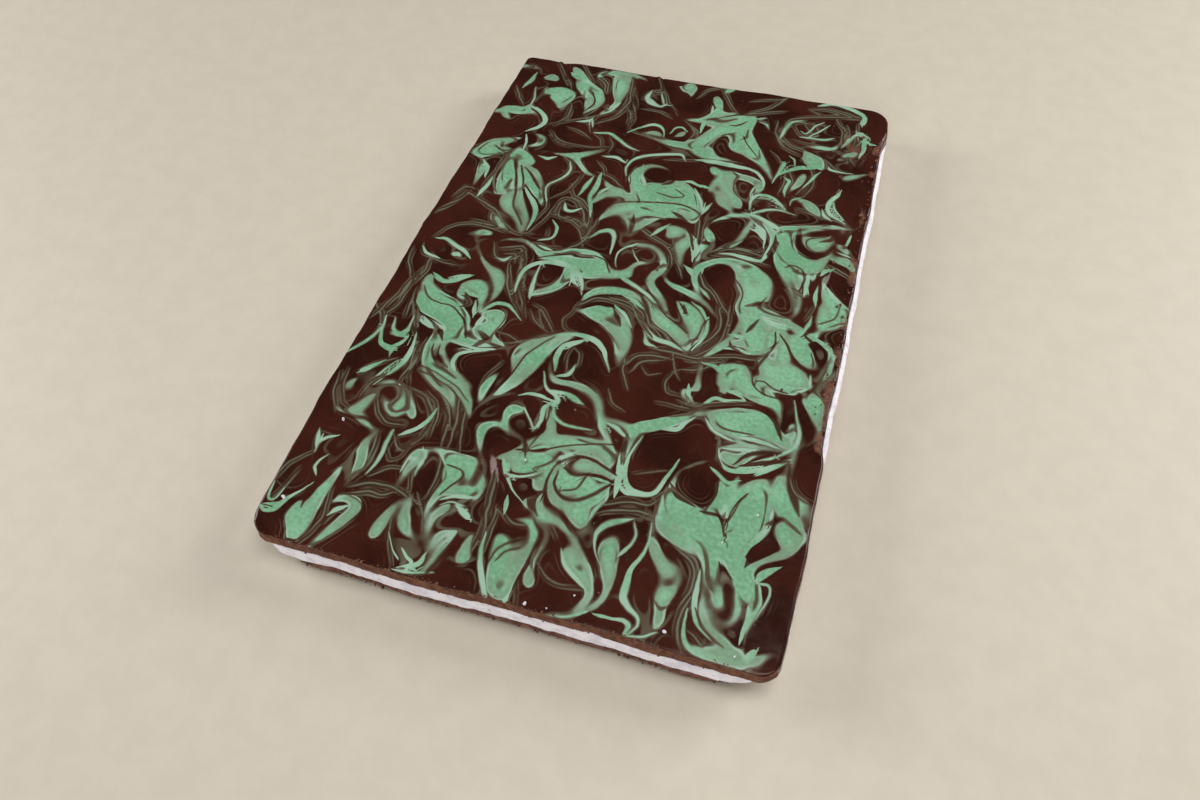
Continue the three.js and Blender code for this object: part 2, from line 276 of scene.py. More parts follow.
    (57,46,3.5, 58,38,4, 63,33,4.6, 70,31,4, 74,34,2.2, 76,40,.8),
    (66,45.5,2, 70,43.6,4.1, 74.3,46.8,2.4, 76,50,.8), (66,28,3, 71,27,1.8, 72,23,.6),
    (62,26,2, 66,22,1.8, 68.3,16,1, 69.2,10,.9, 68.7,4,.7, 67,1,.5), (80,46,1.5, 83,43,1.3),
    (78,39,.8, 84,37,2.2, 87,33,.8), (83,53,.5, 82,47,.6),
    (78.5,29.3,.3, 76.5,26,.7, 76.2,22,1, 77.8,18,1.6, 80.5,13.5,2.8, 84,9.5,3.4, 84.5,4.5,2.8, 80.5,.5,2,
     78.8,2.5,1.6), (74.8,20.5,.5, 74.6,15,1, 75.3,11,.4),
    (52,2,2, 60,1,2.2, 66,-1,1.6, 72,-4,2, 76,-7,2, 79,-2,.6), (52,-5,2.4, 56,-11,5, 59,-16,4.8, 64,-8,3.4),
    (47,-18,.8, 52,-16,2), (66,-8,1.4, 67.5,-14,2.2, 68,-20,3),
    (70.5,-8.5,2, 74,-13.5,3.6, 76.5,-17.5,3.2, 79,-19.8,1.8),
    (82.5,-7.5,.8, 84.7,-12,1.1, 85.3,-17,1.2, 85,-23,1.9, 83.3,-28.5,1.5, 81,-33,.9),
    (-76,-15.5,1.3, -75,-20.5,2.6, -69,-24.8,3, -62.5,-27.5,3, -56.5,-31.5,3.2, -51.5,-37.5,1.6),
    (-73.5,-14.5,.7, -69.5,-16.5,1.1, -65,-15,1.1, -60.5,-11.2,.5),
    (-76,-26,1.2, -72,-32,2.4, -64,-34,3, -57,-37,3.4, -54,-42,2.6),
    (-59.5,-16.3,2, -56,-15.3,3.3, -52.8,-17.5,2.6, -50.6,-24,1, -50.3,-31,.4),
    (-73,-35.5,.5, -69.5,-38.3,1.2, -65.5,-40,1.3, -62.5,-40.3,.8),
    (-60,-43,2.4, -53,-43,2.2, -45,-44,1.6, -40,-43.8,.9, -35,-42.5,.4),
    (-61.3,-46.5,1.9, -60.8,-53,2, -57.5,-58.5,2.6, -50,-61.5,3, -43,-65,2.4, -38,-69.5,1.8, -34.5,-76,.8),
    (-56,-50,.8, -52,-55,1, -46,-60,1.4, -40,-64,1.2),
    (-41,-46.5,.4, -46,-48.2,.7, -49.3,-50.8,.9, -49.8,-54.5,1, -47.5,-58.5,.8),
    (-46,-29,2, -42,-29,3.6, -42,-34,3, -46,-37,2.6, -43,-40,1.6, -36,-41.5,.8),
    (-48,-27,.6, -45,-22.5,.9, -40,-22,.9, -36.5,-24.5,.5, -33,-27.5,.3),
    (-84,-41,.4, -82.3,-48,.6, -80.3,-53,.9, -77.5,-54.6,1.3, -75,-55.3,1.3, -74.5,-57.5,.4),
    (-80,-41,.4, -78.5,-45.3,.8, -75,-47.3,1.2, -72.6,-43.5,1, -73.3,-37,.4),
    (-90.5,-60.5,.5, -86.8,-55.5,.8, -84.3,-50,.7, -83.5,-46,.4),
    (-73,-72,.5, -70,-70.3,1, -65.5,-69.9,1.4, -62,-72.3,1.9, -60.8,-77,2.6, -60.8,-81.3,2.8, -64,-80.5,1.8,
     -67.5,-77.5,.6),
    (-86,-81,.3, -83.5,-85,.6, -79,-86.3,1.2, -74.7,-83.8,2.3, -72.7,-79,1.7, -71.3,-75.8,.7),
    (-75,-86,1.5, -70,-88.3,1.5, -66,-90.5,.8), (-82.7,-75.8,1.7, -82.3,-73.3,1.1, -80.8,-71.3,.4),
    (-59.5,-72,.5, -57.2,-76,1.1, -55.3,-80,1.8, -54,-82,1.4),
    (-47,-77,.4, -47.8,-82,.9, -50,-86,.9, -53.5,-89,.8),
    (-31.3,-54,.4, -33,-58.5,1.5, -33.8,-63.5,1.6, -33,-69,.6),
    (-12,-29,1, -18,-33,1.6, -21,-40,2.6, -23,-47,2.6, -25,-55,1.6, -28,-62,1, -30,-69,.5),
    (-21,-34,1, -26,-39,1.8, -28,-45,1.6, -27.5,-51,.6),
    (-16,-31,.6, -9,-28.7,1, -2,-29.5,1.3, 3,-33.5,1, 5.5,-38,.6, 7.5,-42,.3),
    (-7,-31.5,.6, -12.3,-35.5,1, -13,-41.5,1.1, -12,-46,.6), (-9,-49.3,.6, -6,-47.6,.9, -5.3,-44,.4),
    (-14.5,-42,.3, -13.5,-48,.7, -10,-52,1.3, -3,-52,1.5, 3,-53,1.7, 8,-57,1.6, 11,-63,1.4, 15,-70,1.2,
     20,-77,.7), (-15,-50,.3, -12,-56,.6, -7,-59,.9, -6,-62,.9, -10,-65,.7, -9,-72,.5),
    (-13,-60,.5, -17,-60.3,.6, -20,-62,.3), (-9,-57,.6, -2,-57,1, 2,-59,.6),
    (-9,-64,.8, -6,-69,1.6, -4,-75,2, -9,-81,1.6, -13.5,-86.5,1.5, -16.5,-88.5,.6),
    (-13,-79.8,.4, -18.5,-77.8,.8, -23.3,-76.5,1, -26.6,-77.6,1.7, -27.8,-80.5,1.8, -27,-83.5,1.4,
     -25.8,-87,.9, -24.3,-90.5,.4), (-16,-68,.4, -11,-74,.4),
    (0,-14,2.2, 5,-19,3, 9,-25,2.6, 10.5,-31,1.4, 10.5,-37,.6), (-10,-16,1, -4,-14,2, 2,-18,2),
    (8,-9,.8, 13,-16,1, 19,-22,1.2, 26,-23.5,1.2, 30,-25,.6), (16,-22.5,.4, 17.5,-25.5,1, 20.5,-26.3,.5),
    (40,-31.5,.8, 40.3,-36,.9, 40.7,-40.5,1.5, 39,-42.3,.9, 36.6,-43.3,.9, 36.8,-46,.9, 40,-48,.9,
     44,-48,.6, 48,-46,.4), (47,-29.5,1.1, 50,-29.5,2.7, 51,-35,2.6, 50,-41,1.2),
    (53.5,-28.3,3.2, 57,-35,4.2, 63,-38,3.8, 69,-40.3,2.4, 71.3,-43.5,1.2, 72.8,-47.5,.5),
    (62,-22,2.6, 66,-27,4.6, 72,-26,4.8, 76,-28,3.4, 80,-31,1), (62,-32,2.6, 68,-32,3, 74,-33,2.4),
    (51,-52,3, 57,-51.5,5.4, 65,-51,5.6, 71,-54,3.4, 77,-57,1.6),
    (80.3,-36.5,1.6, 83.5,-35.8,3, 84.8,-42,1.9, 86.3,-48,.9, 85.8,-52,.7, 83.5,-54.7,.4),
    (76,-38,.25, 77.5,-44,.45, 79.8,-50,.8, 79.5,-57,.9, 75,-61.5,.6),
    (77.3,-48.5,1.2, 77.5,-52,1.5, 77,-55,1), (80,-55,.8, 79.5,-62,1, 79,-68,1, 81,-74,1.3, 85,-81,2),
    (50,-49.5,.6, 43,-53,1.4, 37,-57.5,2.3, 30,-61.5,2.6, 24.5,-65,2.4, 23.5,-71,1.6, 24,-79,.9),
    (14,-64,1, 19,-64,1.2, 24,-66,1.6),
    (27.3,-68,.4, 25.6,-75,.6, 26,-83,.8, 29,-88.3,.9, 34,-89.8,1, 38,-87.5,.9, 40.2,-80,.6, 42,-74,.4),
    (53,-70,.5, 47,-74,.7, 43.3,-78,.7, 42.7,-84,1.2, 44,-89,2), (23,-79,1, 24.5,-86,1.3, 25,-91,.8),
    (55,-63,1, 60,-61.5,1.5, 66,-60.5,1, 75,-60,.8), (57,-67,2, 61,-68,2.8, 65,-65,1.6, 69,-62.5,.6),
    (54.5,-65,.5, 56,-70,.7, 60,-72.3,.9, 66,-71,1, 72,-68,1, 77.5,-63.5,.8),
    (55,-74,.6, 60,-77.5,.8, 63,-76,.5),
    (44,-88,2.6, 48,-92,4.6, 55,-96,5.6, 62,-98,4.6, 68,-104,3.6, 72,-110,3.8, 77,-117,2.6),
    (72,-74,1.6, 70,-80,5.4, 70,-88,6.6, 68,-95,4.4, 67,-103,3), (58,-79,1.6, 59,-85,2, 58,-91,3),
    (77,-72,2, 79,-80,3.4, 84,-86,3, 87,-91,2, 84.5,-97,1.7, 80,-100.8,1.3, 76,-104,1.2, 74,-107.5,1.4),
    (82,-90.5,3.4, 84,-94,3), (84,-77.5,1.3, 86.5,-78.5,1.4, 88,-82,.8),
    (40.5,-103.5,.6, 42.3,-107,1.8, 45.6,-111.3,2.2, 48.9,-114.4,2.7),
    (59.3,-103.5,1.8, 62.3,-108.5,2.3, 65,-115.3,2.1, 67.2,-120.7,1.8),
    (51.6,-111,.4, 53.3,-115,.7, 52.6,-119.5,1.3, 50.6,-123,2.6, 50.3,-127,1.7, 50.7,-131,1.8,
     50.2,-135.5,.6),
    (50,-102,.7, 58,-106,.8, 60.5,-112,.7, 61.5,-119,.6, 63,-125.5,1.3, 67,-130.3,1.6, 72,-133.5,2,
     76,-136.5,1.4), (59.2,-113,.5, 59.6,-118,.9, 60.2,-123.6,1, 62,-128.3,1, 65.5,-131.3,.8),
    (60.5,-136,.8, 64,-137.8,1.1, 72,-138,1.4, 78,-137.3,1.6, 82,-135.3,1.7, 84,-133.5,1),
    (79,-135.5,1.3, 80.7,-133,1.1),
    (73,-116,1.8, 73.2,-121,1.3, 72.2,-125.3,1, 69.5,-127,.6, 66.3,-125.3,.5, 63.8,-122,.4),
    (77,-112,1.6, 78,-117,1.9, 78,-122,1.3, 76.8,-127,.8, 77.3,-131,.5),
    (78.5,-110.7,.4, 80.8,-110.6,.5, 81.8,-113.3,.4, 80.8,-117.5,.4, 79.3,-122,.3),
    (77,-109.3,1.2, 79,-106.8,1.3, 81.8,-104.5,.7), (21,-91,2, 18,-96,3.4, 13,-99,1.6),
    (16,-101,3, 18.8,-106,1.4, 18.8,-108.5,.6),
    (31,-101,.9, 26.6,-103.4,1.2, 23.9,-107,1, 23.7,-110.5,.6, 25.2,-114.5,.35, 28,-118.5,.2),
    (29.5,-109.8,2.2, 29.3,-113,3.6, 30.6,-117.5,2.9, 32,-122,2.2, 32.7,-126.5,1.2, 32,-130.3,1,
     29.3,-134.3,.8, 24.2,-137.5,.9, 17,-140,1), (34.5,-101.5,.3, 36,-105,.5, 35.6,-109,.6, 33.8,-112.5,.7),
    (17,-117.5,2.2, 19.5,-120.5,2.6, 23.5,-123.5,2.4, 26.8,-127,1.7, 27.7,-130.5,1.2, 26,-134,1),
    (40,-100,.3, 40.6,-107,.5, 39.8,-112,.6, 38,-117,.8, 38,-123,1.2, 38.3,-127.3,1.3, 41,-130.3,1,
     44.3,-132.3,.7, 45.2,-135,.5, 43.5,-138,.3),
    (32.9,-135,.6, 36.5,-134.9,.5, 40.5,-134.6,.8, 42.6,-136,.9, 42,-138.3,.5),
    (-3,-110.2,.6, 0,-110,1.2, 3,-111.8,1.7, 4.4,-118,1.6, 2.2,-128,2, 1,-136,3),
    (5.5,-109.5,.4, 8,-112.5,.7, 8.4,-116,.8, 7.2,-121.5,.9, 7,-126.5,1.4, 8.3,-130.8,1.9),
    (-2,-103.5,1.8, 4,-105.5,1.7, 9,-107.2,1.4, 13.5,-110,1.2, 17.5,-113.2,1.1, 22,-117.5,1.2, 25.5,-121,1),
    (-2,-78,3, 8,-76,3, 16,-76,2.4, 19,-81,2), (1,-86,2.6, 6,-92,4.2, 10,-93,4.6, 15,-91,3),
    (10.5,-84.8,2.6, 15,-84.2,2.2, 22,-86,1.4),
    (.6,-93,.5, .9,-98,.8, 1.7,-103.5,1.2, 3.5,-107,1.4, 8,-107.8,1.2),
    (-77,-97,.4, -79.5,-98.5,.7, -81.5,-101,.7, -81.3,-104.8,.3),
    (-69,-101,.3, -69.1,-107,.8, -69.8,-114,1.5, -70.8,-119,2.1, -71.6,-125,2.6, -72.6,-131,4,
     -72.4,-135.5,3, -72.5,-138.6,1), (-76,-125.5,1.2, -76.5,-130.5,2.2, -75.5,-134,1.8),
    (-62.5,-91,.4, -65,-95.5,1.3, -65,-99.5,1.9, -63.8,-103.7,2, -63.4,-107.5,1.8, -64,-111.5,1,
     -65.5,-118,.4), (-58.3,-89.5,.5, -58.3,-94,.8, -57.8,-99,.8, -58.1,-103.5,.7, -59.3,-107.5,.4),
    (-65.4,-122,.6, -63,-119.8,1.3, -58.5,-119.5,2, -57,-123,2.3, -59.5,-128.5,2.2, -62,-133.5,1.8,
     -64.3,-137.8,1.1, -65.4,-139.5,.5),
    (-88.5,-121,.3, -88,-125.5,.5, -86.7,-127,.5, -85,-126,.4, -84,-122,.25),
    (-88.5,-130,.4, -86,-131.3,.7, -83.3,-130,1, -82,-127,1, -80.3,-124,.7, -77.5,-120.5,.35,
     -75.5,-117,.2), (-48,-99,.8, -46,-96,1.8, -43,-97,1.4, -46,-102,1.4, -46.8,-108,.8),
    (-46,-94.8,.5, -38,-92.4,.8, -30,-93,1.4, -25.5,-94,1.6, -24.8,-98,.9),
    (-37,-94,1, -32,-97,2.8, -29.8,-102,2.6, -32.5,-109,1.6, -33.6,-115,1, -33,-120,.5, -31,-125,.3),
    (-29.5,-107.5,1.5, -25,-105.7,2, -21,-105.5,1.9),
    (-46.6,-129,1.9, -46.3,-125.5,2.1, -45.6,-121.5,1.7, -44.4,-117.5,1.1, -42.5,-114.8,.5),
    (-40.3,-114.5,1, -40.2,-118.5,1.7, -38.9,-122.5,2.3, -36.8,-125,1.6, -34,-126.6,.8, -31.9,-129,.5,
     -32.5,-131,.3), (-42,-127.5,.2, -38.5,-132.3,.25, -36,-134.3,.35),
    (-34.8,-132,.5, -32.8,-133.7,.6, -30.9,-134.6,.7, -30.6,-136,.7, -32.3,-136.8,.5),
    (-33,-139,.4, -27,-138,.7, -24.3,-134,1.5, -23,-128,1.6, -21,-122.5,.9, -20,-118,.4),
    (-28.5,-127.5,.4, -29.8,-122,.8, -30.2,-118,1.4, -28.5,-114.3,1.6, -26.5,-112.5,1.2, -24.5,-111.6,.6),
    (-26.3,-127.5,1, -25.3,-123,1.4, -22,-120.8,.8),
    (-15.1,-129,2.6, -15.5,-124.5,1.6, -15.3,-120,.8, -14.6,-117,.3),
    (-11.2,-119,.4, -10.3,-125,.8, -8,-131,1, -5,-136.5,1, -3,-140,.8),
    (-6,-118.5,1.6, -4.5,-121,3, -3.5,-127,3.2, -2,-135,2.8),
    (-20.3,-96.5,.9, -19.5,-101,1.4, -19.2,-105,1.4, -19.5,-109,.5),
    (-16.3,-89.3,1, -11.5,-88,2.6, -5,-86.5,2.8, 0,-84.5,2.2),
    (-13.5,-92.5,1.2, -11.8,-96.5,.7, -8.3,-100.5,.3, -3,-104.3,.2),
    (-66,110,2.2, -62,107,2.6, -60.5,103,1.2), (-51,118,1.2, -49.5,111,1.4, -49,104,.8),
    (17.5,108,1.6, 21,105,2.2, 23.5,101.5,1.6), (-64.5,37.5,.8, -63.5,34.3,1.9, -60,30,1.5),
    (-17,52,1.5, -13,51,2.2, -9,52,2), (3,65,1.5, 8,65,2.2, 13,62,2),
    (4,45,2.2, 9,45.2,1.5, 14,45.7,1.6, 18,43.7,1.2), (24,64,1.4, 27,59,2, 30.5,56.3,1.6, 32.3,54,.8),
    (52.5,44,1.2, 53,38,1.2, 51.5,31,.8),
    (56,34,1.6, 58,29,2.2, 61,23.5,1.8, 64,17.5,1, 66.3,11,.6, 67.3,7,.3),
    (78.5,10,1.7, 79.8,5,2.8, 79.5,1,2.2), (-60.5,-17,1.5, -60.5,-21,1.6, -58.5,-23,1),
    (-74,-26,1, -69,-28.5,1.4, -62,-30.5,1.2), (-57,-45,1.5, -56.5,-49,1.2, -57,-52,.6),
    (-47,-31,1, -47.5,-35,1.2, -46,-38.5,1), (-42,-37,1.6, -39,-40,1.3, -35,-41.5,.8),
    (-13,-12,.6, -11.3,-8,1.4, -8,-5,1.9, -2,-3,2.1, 4,-2.9,1.7, 9,-4.8,1, 13.5,-8.5,.5),
    (49,-8,.8, 47.5,-14,1.2, 44.7,-19.5,1.5, 41.5,-24.5,1.1, 39,-27.5,.4), (48,-33,1.4, 48.5,-37,1.4),
    (46,-46.3,.8, 48.3,-44,.8, 52,-44,.8, 57,-42.8,.6), (51,-55,1.8, 55,-57,1.8, 60,-57.5,1.5),
    (-31,-96,1.6, -27,-96.5,2, -26,-98.5,1.2), (-3,-91.5,1.2, -2,-94.5,1.6, -1.5,-97,1.2),
    (8,-79,1.6, 13,-79,1.6, 18,-80,1.2),
    (2.8,-95,.8, 5.5,-99.5,1.4, 10,-101.5,2.3, 15,-104,2.8, 18,-107.5,1.4),
    (51,-101,1, 56,-103,1.2, 60,-106,1.4, 61.5,-112,1), (-63,131,1.2, -60,128.5,1.2),
    (-59,124.5,1, -56,120,1.6, -54,116,.8), (-38,133.5,1, -35.5,133,1.6, -35,130,.8),
    (-82,94.5,1, -79.5,94.5,1.2), (-21,121,.9, -18.8,119.6,1.2, -16,118.3,1.2, -13.5,119.3,.9),
    (-16.8,125.5,.4, -15.6,123,.6, -14.8,121.3,.5), (10,109,1.4, 13,110,1.6, 15,112,1),
    (-9.2,133.6,1, -6.8,133.2,2.5), (-2.3,97,.8, -.6,98.6,1.7, .6,100.3,.8),
    (12.5,92,1, 14.5,91.5,1.6, 16.5,89.5,1), (28,100,1, 31,96,1.8, 35,91.5,1.3, 38,88,.5),
    (15,83,.5, 24,82.8,.7, 32,83,.6), (21,77.5,1.5, 24,77.5,1.8, 29,78.3,1.5),
    (52.5,88.3,.5, 55,90,.8, 58.5,91.3,.8), (-81,57,.6, -78.5,54,1, -77.5,49,.6),
    (-57,44.8,.5, -54.3,41.5,1, -51,37.8,1.2, -48.3,33.5,1.2, -47.3,28,1, -47.6,22,.5),
    (-38,12.8,.6, -35.5,12.2,.8), (-39.5,9.5,.5, -37,8,.8, -32,9,.6), (-72,62,.4, -71.8,56,.5, -71.3,48,.4),
    (-11,71,.8, -10.5,67,1, -8,62.5,1), (9,67.5,.6, 12,68,.9, 15,66.5,.6), (17.5,66.5,.8, 18.5,66.3,.8),
    (15,63,.5, 18,58,.9, 20,52.5,.7), (23,56,.4, 22,53,1, 21,50,.6), (-17,43.5,.8, -15,46,1.4, -12,48,1),
    (-13,40,.6, -10,39,1.4, -8.5,36.5,.8), (-3.5,40,1, -1.8,37,2.2, -3.2,32.5,1.1), (1,38.5,1.6, 3,40.5,1),
    (17,38,.4, 20,33,.7, 22,28,.6, 23.5,22,.4), (25.3,33,.6, 25,29,.7, 24.5,25,.4),
    (22.5,17,.6, 24.5,15.5,1.2, 25.5,13.5,.6), (-25,49,.6, -24,52,1, -22.5,54,.8),
    (-16,1.6,1.6, -12,2.4,1.5, -8,3.4,1), (38.7,70.5,.6, 38.2,67.5,.5, 38.6,64.5,.3),
    (42,65.3,.25, 45.5,65.8,.3, 49,64.5,.4, 52,62.5,.4), (41.5,55.5,.6, 43,57,.6),
    (41,54,1, 46,52.8,1.3, 51,50.3,1.3, 54,48.8,.9), (43,46,.6, 46,45,1, 48.5,42,.8),
    (40,37,.5, 38,34.5,.7), (62,52.2,.6, 67,53.6,.7, 72,54.5,.6), (61.3,45,.6, 61.8,41,.8, 63,38.5,.6),
    (75,28,.6, 76,30,1.2, 77.5,31,.8), (78,37.5,.6, 81,36.3,.8, 83.5,35,.4),
    (65.5,24.5,.8, 67.5,24,1, 69.5,21,1, 71,17.5,.6), (78,21.5,.6, 81,17.5,1, 84,14.5,1, 87,12.5,.6),
    (35,24,.6, 40,23,1.2, 43,19.5,1.4, 44.3,14,1, 45,11,.6), (28.5,20,.5, 29,17,.6),
    (31,7,.5, 33,5,.8, 34.5,3.5,.4), (80.5,41.8,.5, 83,41,.6), (-67,-13.5,.5, -64.5,-12.3,.7, -62,-11,.5),
    (-73.5,-16,.4, -71,-17,.6), (-70,-36.5,.6, -66,-37.8,.7, -61,-39.3,.6, -57.5,-40,.4),
    (-58.5,-19,.8, -56,-20,1.2, -53.5,-20.8,.6), (-52.5,-25,.6, -51.5,-28,.9, -51,-30.5,.4),
    (-55,-45,.5, -49,-45.8,.6, -43,-46,.6, -38,-44.8,.5),
    (-58,-62.5,1, -52,-65.3,2, -46.5,-68.5,1.8, -42,-73,.9, -39.5,-78,.4), (-76,-48,.7, -73.5,-48,.7),
    (-77.5,-54,.5, -75,-54,.6), (-21,1,1, -19.5,-2,1.2, -17.5,-4,.5), (-32,-14,.6, -26,-10,.8, -22,-5,.6),
    (3,-4.8,.5, 7,-5.8,.9, 10.5,-8.3,.6), (2,-11.5,.6, 5.5,-14,.9, 9,-18.5,.6),
    (-12,-17,.6, -7,-17.8,1.4, -1,-20,1.8, 4,-24,1.8, 7,-29,1.5, 8.8,-35,.8),
    (17.5,-7.5,.4, 22,-11,.7, 25,-13.5,.4),
    (-11,-31.3,.7, -14.5,-34,1.4, -17,-40,1.2, -19.3,-48,1.3, -22.3,-56,1.2, -26.5,-63,.7),
    (-10.5,-36,.4, -9,-34,.5, -7,-32.5,.3), (-2,-58.2,.5, 1,-59.2,.6),
    (-18,-60.8,.4, -13,-60.5,.6, -8,-61.3,.5),
    (-6.5,-64,.5, -5,-67.5,.8, -1,-69.7,.7, 4,-70,.6, 8.5,-69.5,.4), (14,-65.2,.5, 17.5,-66,1, 20.5,-68,.8),
    (23,-64,.5, 28,-63,.4), (30,-1.5,.4, 33.5,-3.5,.8, 36.3,-7.8,.5),
    (37.3,-8.5,.6, 37.8,-14,.9, 36.7,-20,.6, 35,-24,.3),
    (49.5,-1,1.2, 54,-1.8,1.6, 58.5,-4.5,1.6, 61,-5.5,.8), (60.3,-10,.6, 61,-16,.8, 60,-19.5,.5),
    (62,-4,.8, 65.5,-4.3,.7), (49.5,-13,1, 50.5,-13,1), (46.5,-20,.5, 51,-19.2,.8, 56,-20,.7, 60,-18,.4),
    (84,-9,.5, 86,-13,.6, 86.5,-18,.4), (79.5,-26,.6, 79.8,-30,.7, 77.5,-32.5,.7, 76,-33,.4),
    (41.5,-29.3,.6, 45,-29.8,1, 47.5,-31.5,1.2), (52.5,-39.5,.8, 55,-39.5,1.2, 57.5,-41,.5),
    (38,-42.5,.8, 38.5,-45,.8, 40,-46.5,.5), (60,-58.3,.6, 65,-57.8,1, 70,-58.3,.9, 74,-59,.4),
    (48,-54.5,.5, 50.5,-57.5,.8, 55,-59.5,.7, 59,-60.3,.4), (56.5,-64,.5, 61,-63.3,.9, 66,-62,.7),
    (61,-68,.5, 64,-65,1, 67.5,-62.5,.6), (63.5,-70.5,.6, 68,-67,1, 72,-64,.8),
    (70,-71,.5, 74,-67,1, 77.5,-63.5,.6), (36,-61.5,.8, 39,-60.5,1, 40.5,-57.5,.8, 43,-54.5,.4),
    (-69,-89.2,.5, -66.5,-90.3,.5), (-48,-99,.4, -48.2,-103,.5), (-43.3,-99.5,.5, -43,-103,.5),
    (-34,-99.5,.5, -33.3,-102,.6), (-69.7,-120,.4, -69.7,-125,.5),
    (-8,-83,.4, -5.5,-81.3,.8, -3.5,-80.7,.4), (2,-80.5,.8, 5,-81,1.2, 4,-83.5,.8, 7,-79.8,.6),
    (-13,-90,.8, -10,-92,2.2, -6.5,-92,2), (-4,-89,.8, -1.5,-90.5,1.8, -.2,-93.5,1),
    (-15,-91.5,.8, -13.3,-94.5,1, -11.8,-97,.5), (18,-88.3,.6, 21.5,-88.7,.4),
    (22.3,-91,.4, 22.8,-94,.6, 22.5,-96.5,.4), (21.5,-97.5,.6, 20.3,-100.5,.9, 19.8,-103.5,.5),
    (-30,-110.5,.4, -26.5,-108.3,.7, -22,-107.5,.8), (.3,-120.5,1, .6,-124,1.4, 0,-128,1.4),
    (3.3,-134.5,.5, 3,-139,1, 2.5,-141,.8), (15,-118,.5, 17,-121.5,.9, 20.5,-124.3,.9, 24.5,-127,.5),
    (26,-88.5,.5, 28.5,-90.5,.8, 33,-90.5,.6), (19,-139.5,.5, 24,-138,.6, 28,-135.5,.5),
    (63,-76,1, 61.8,-82,1.4, 63,-88.5,1), (41,-90.5,.8, 42.5,-95,1.6, 46,-98.5,1.4, 48.5,-101.5,.7),
    (77,-85.5,.8, 77,-89.5,1, 75,-94,1.2, 72,-99,1, 71.3,-102,.5),
    (76.8,-119,.9, 77,-123.5,1, 76.3,-127,.8, 76,-130,.5), (65,-137.3,.5, 69,-136.5,.8, 72,-136.3,.4),
    (48.6,-120.5,1, 49.3,-123.5,1.6, 49.8,-127,1.2), (40,-97.5,1, 44.5,-101,1.8, 50,-103.8,1.6, 54,-106,1),
    (64,-137,1, 70,-136,1.6, 76,-135,1.6), (-64.3,-125.8,.5, -63.3,-124.3,1, -61.5,-123,.8),
    (80.5,-37.5,1.4, 82.5,-40.5,1.6, 84.5,-43.5,1.2), (-53,1.5,.4, -50.5,1.2,.9, -49,3,.5),
    (-85.5,-1,.4, -83,-3.5,.7, -78,-4.8,.5),
    (-68.8,-46,.3, -67.7,-51,.7, -67.4,-57,1.1, -68.8,-62.5,1, -71.5,-67.5,.6, -74,-72.5,.3),
    (-75.5,-61.5,.4, -78.5,-64.8,1, -80.7,-67.3,1.1), (3,14.5,.3, 1,17,.4, -1,20.5,.2),
    (-35,1.5,.3, -34.8,-3,.6, -34.3,-8,.9, -33.5,-13,1), (21.5,33,1.3, 22.8,29.5,1.2, 23.2,26,.6),
    (34,28.5,.3, 39,29.3,.8, 45,28.7,1, 50,28.5,.8, 51.8,30.5,.5), (70,26,.8, 70.3,21,1, 70.2,16,.6),
    (74,-2,.9, 74.6,1,.7, 75,4,.3), (58,-2,1, 62,-2.6,1, 66,-3,.8),
    (-73.7,47,.4, -74,43,1, -75,38.5,1.1, -75.5,35.5,.5), (-75.3,104,.6, -75.6,109,.5, -77,114.5,.3),
    (-49.5,95.5,.3, -46.5,96.5,.9, -44.5,97.5,.9, -43.5,99.5,.4),
    (-43.5,99.5,.3, -42.5,97,.6, -41.8,94.5,.4), (14.5,138.5,1.8, 12.8,136,1.3, 11.5,134,.5),
    (7.5,109.5,1, 7.3,106,.8, 7.5,103,.4), (-22.3,125.5,.5, -23.3,122.3,1.2, -22,119.7,1, -20,118.7,.8),
    (25,71.5,1.6, 28.5,71.5,1.6, 30.5,69,1),
    (50,122.8,.4, 46.3,120.8,.8, 44.6,116,1, 44,111,.8, 43.2,108,.4), (31,119,.5, 32.5,119.8,.7),
    # The second stroke on the next line, from (80.5, 115.5) to (82.5, 115), is a painted highlight: a glint
    # drawn as a green stroke.
    (33,117,.4, 35.5,116,.7, 36.8,114,.3), (80.5,115.5,.6, 82.5,115,.9),
    (67,94.5,.4, 68,92.6,.8, 72,92,.8, 77,91.8,.5), (64.5,89,.3, 62.6,85,.8, 61,81,.6, 59.3,77.5,.3),
    (51.3,80.7,.6, 52.8,79.5,.8, 52.2,76,.7, 51.8,73,.8, 52.3,70.5,.4),
    (-43.8,-96,.9, -42.8,-98.5,1, -42.8,-101,.5), (-11,-90,2, -6,-89.5,2.4, -1.5,-87,2),
    (-24.3,-111.8,.5, -22,-113,1.3, -19.7,-114.3,1.1), (-1,-82.5,1.2, 4,-80.5,1.4, 9,-78.5,1.3),
    (1,-85.5,.8, 2.8,-83.5,1, 5.5,-82.3,.7), (53,111,.4, 58.6,111.4,.55, 63.6,112.4,.6, 66.1,113.9,.3),
    (60.5,124,.25, 57.5,121,.45, 56,117,.5, 54,113.8,.4, 52,115,.25),
    (63.3,122.5,.25, 60.8,118.3,.5, 58,114.8,.4, 56,112,.3), (75.6,117.5,.7, 73.3,115,1, 71.8,111.5,.6),
    (-27.5,-131.5,.5, -28,-134.5,1, -30,-136.5,.8), (-34.5,-138.8,.3, -30,-138.7,.5, -24,-136.8,.5),
    (-27.5,-114.5,1.4, -25.8,-114.3,1.3), (-29.5,-112.5,.25, -26.5,-110.7,.4, -22,-111,.3),
    (-9.2,-105,.8, -8.5,-108,.6), (50,-136,.5, 47,-138,.5, 43.5,-139,.4),
    (58.3,-126,.3, 58.7,-131,.5, 59.8,-135.3,.8, 63,-138,.8, 67,-138.6,.6),
    (-85.5,-128.5,.7, -83.3,-128,1.1), (-76,-105,.2, -77.6,-107.8,.5, -78,-110.5,.6, -76.8,-112.4,.5),
    (-83.2,-98.2,.7, -82.6,-100,.9, -81.8,-103,.5), (12,118,2, 16,118.5,1.6, 19.5,120.5,.7),
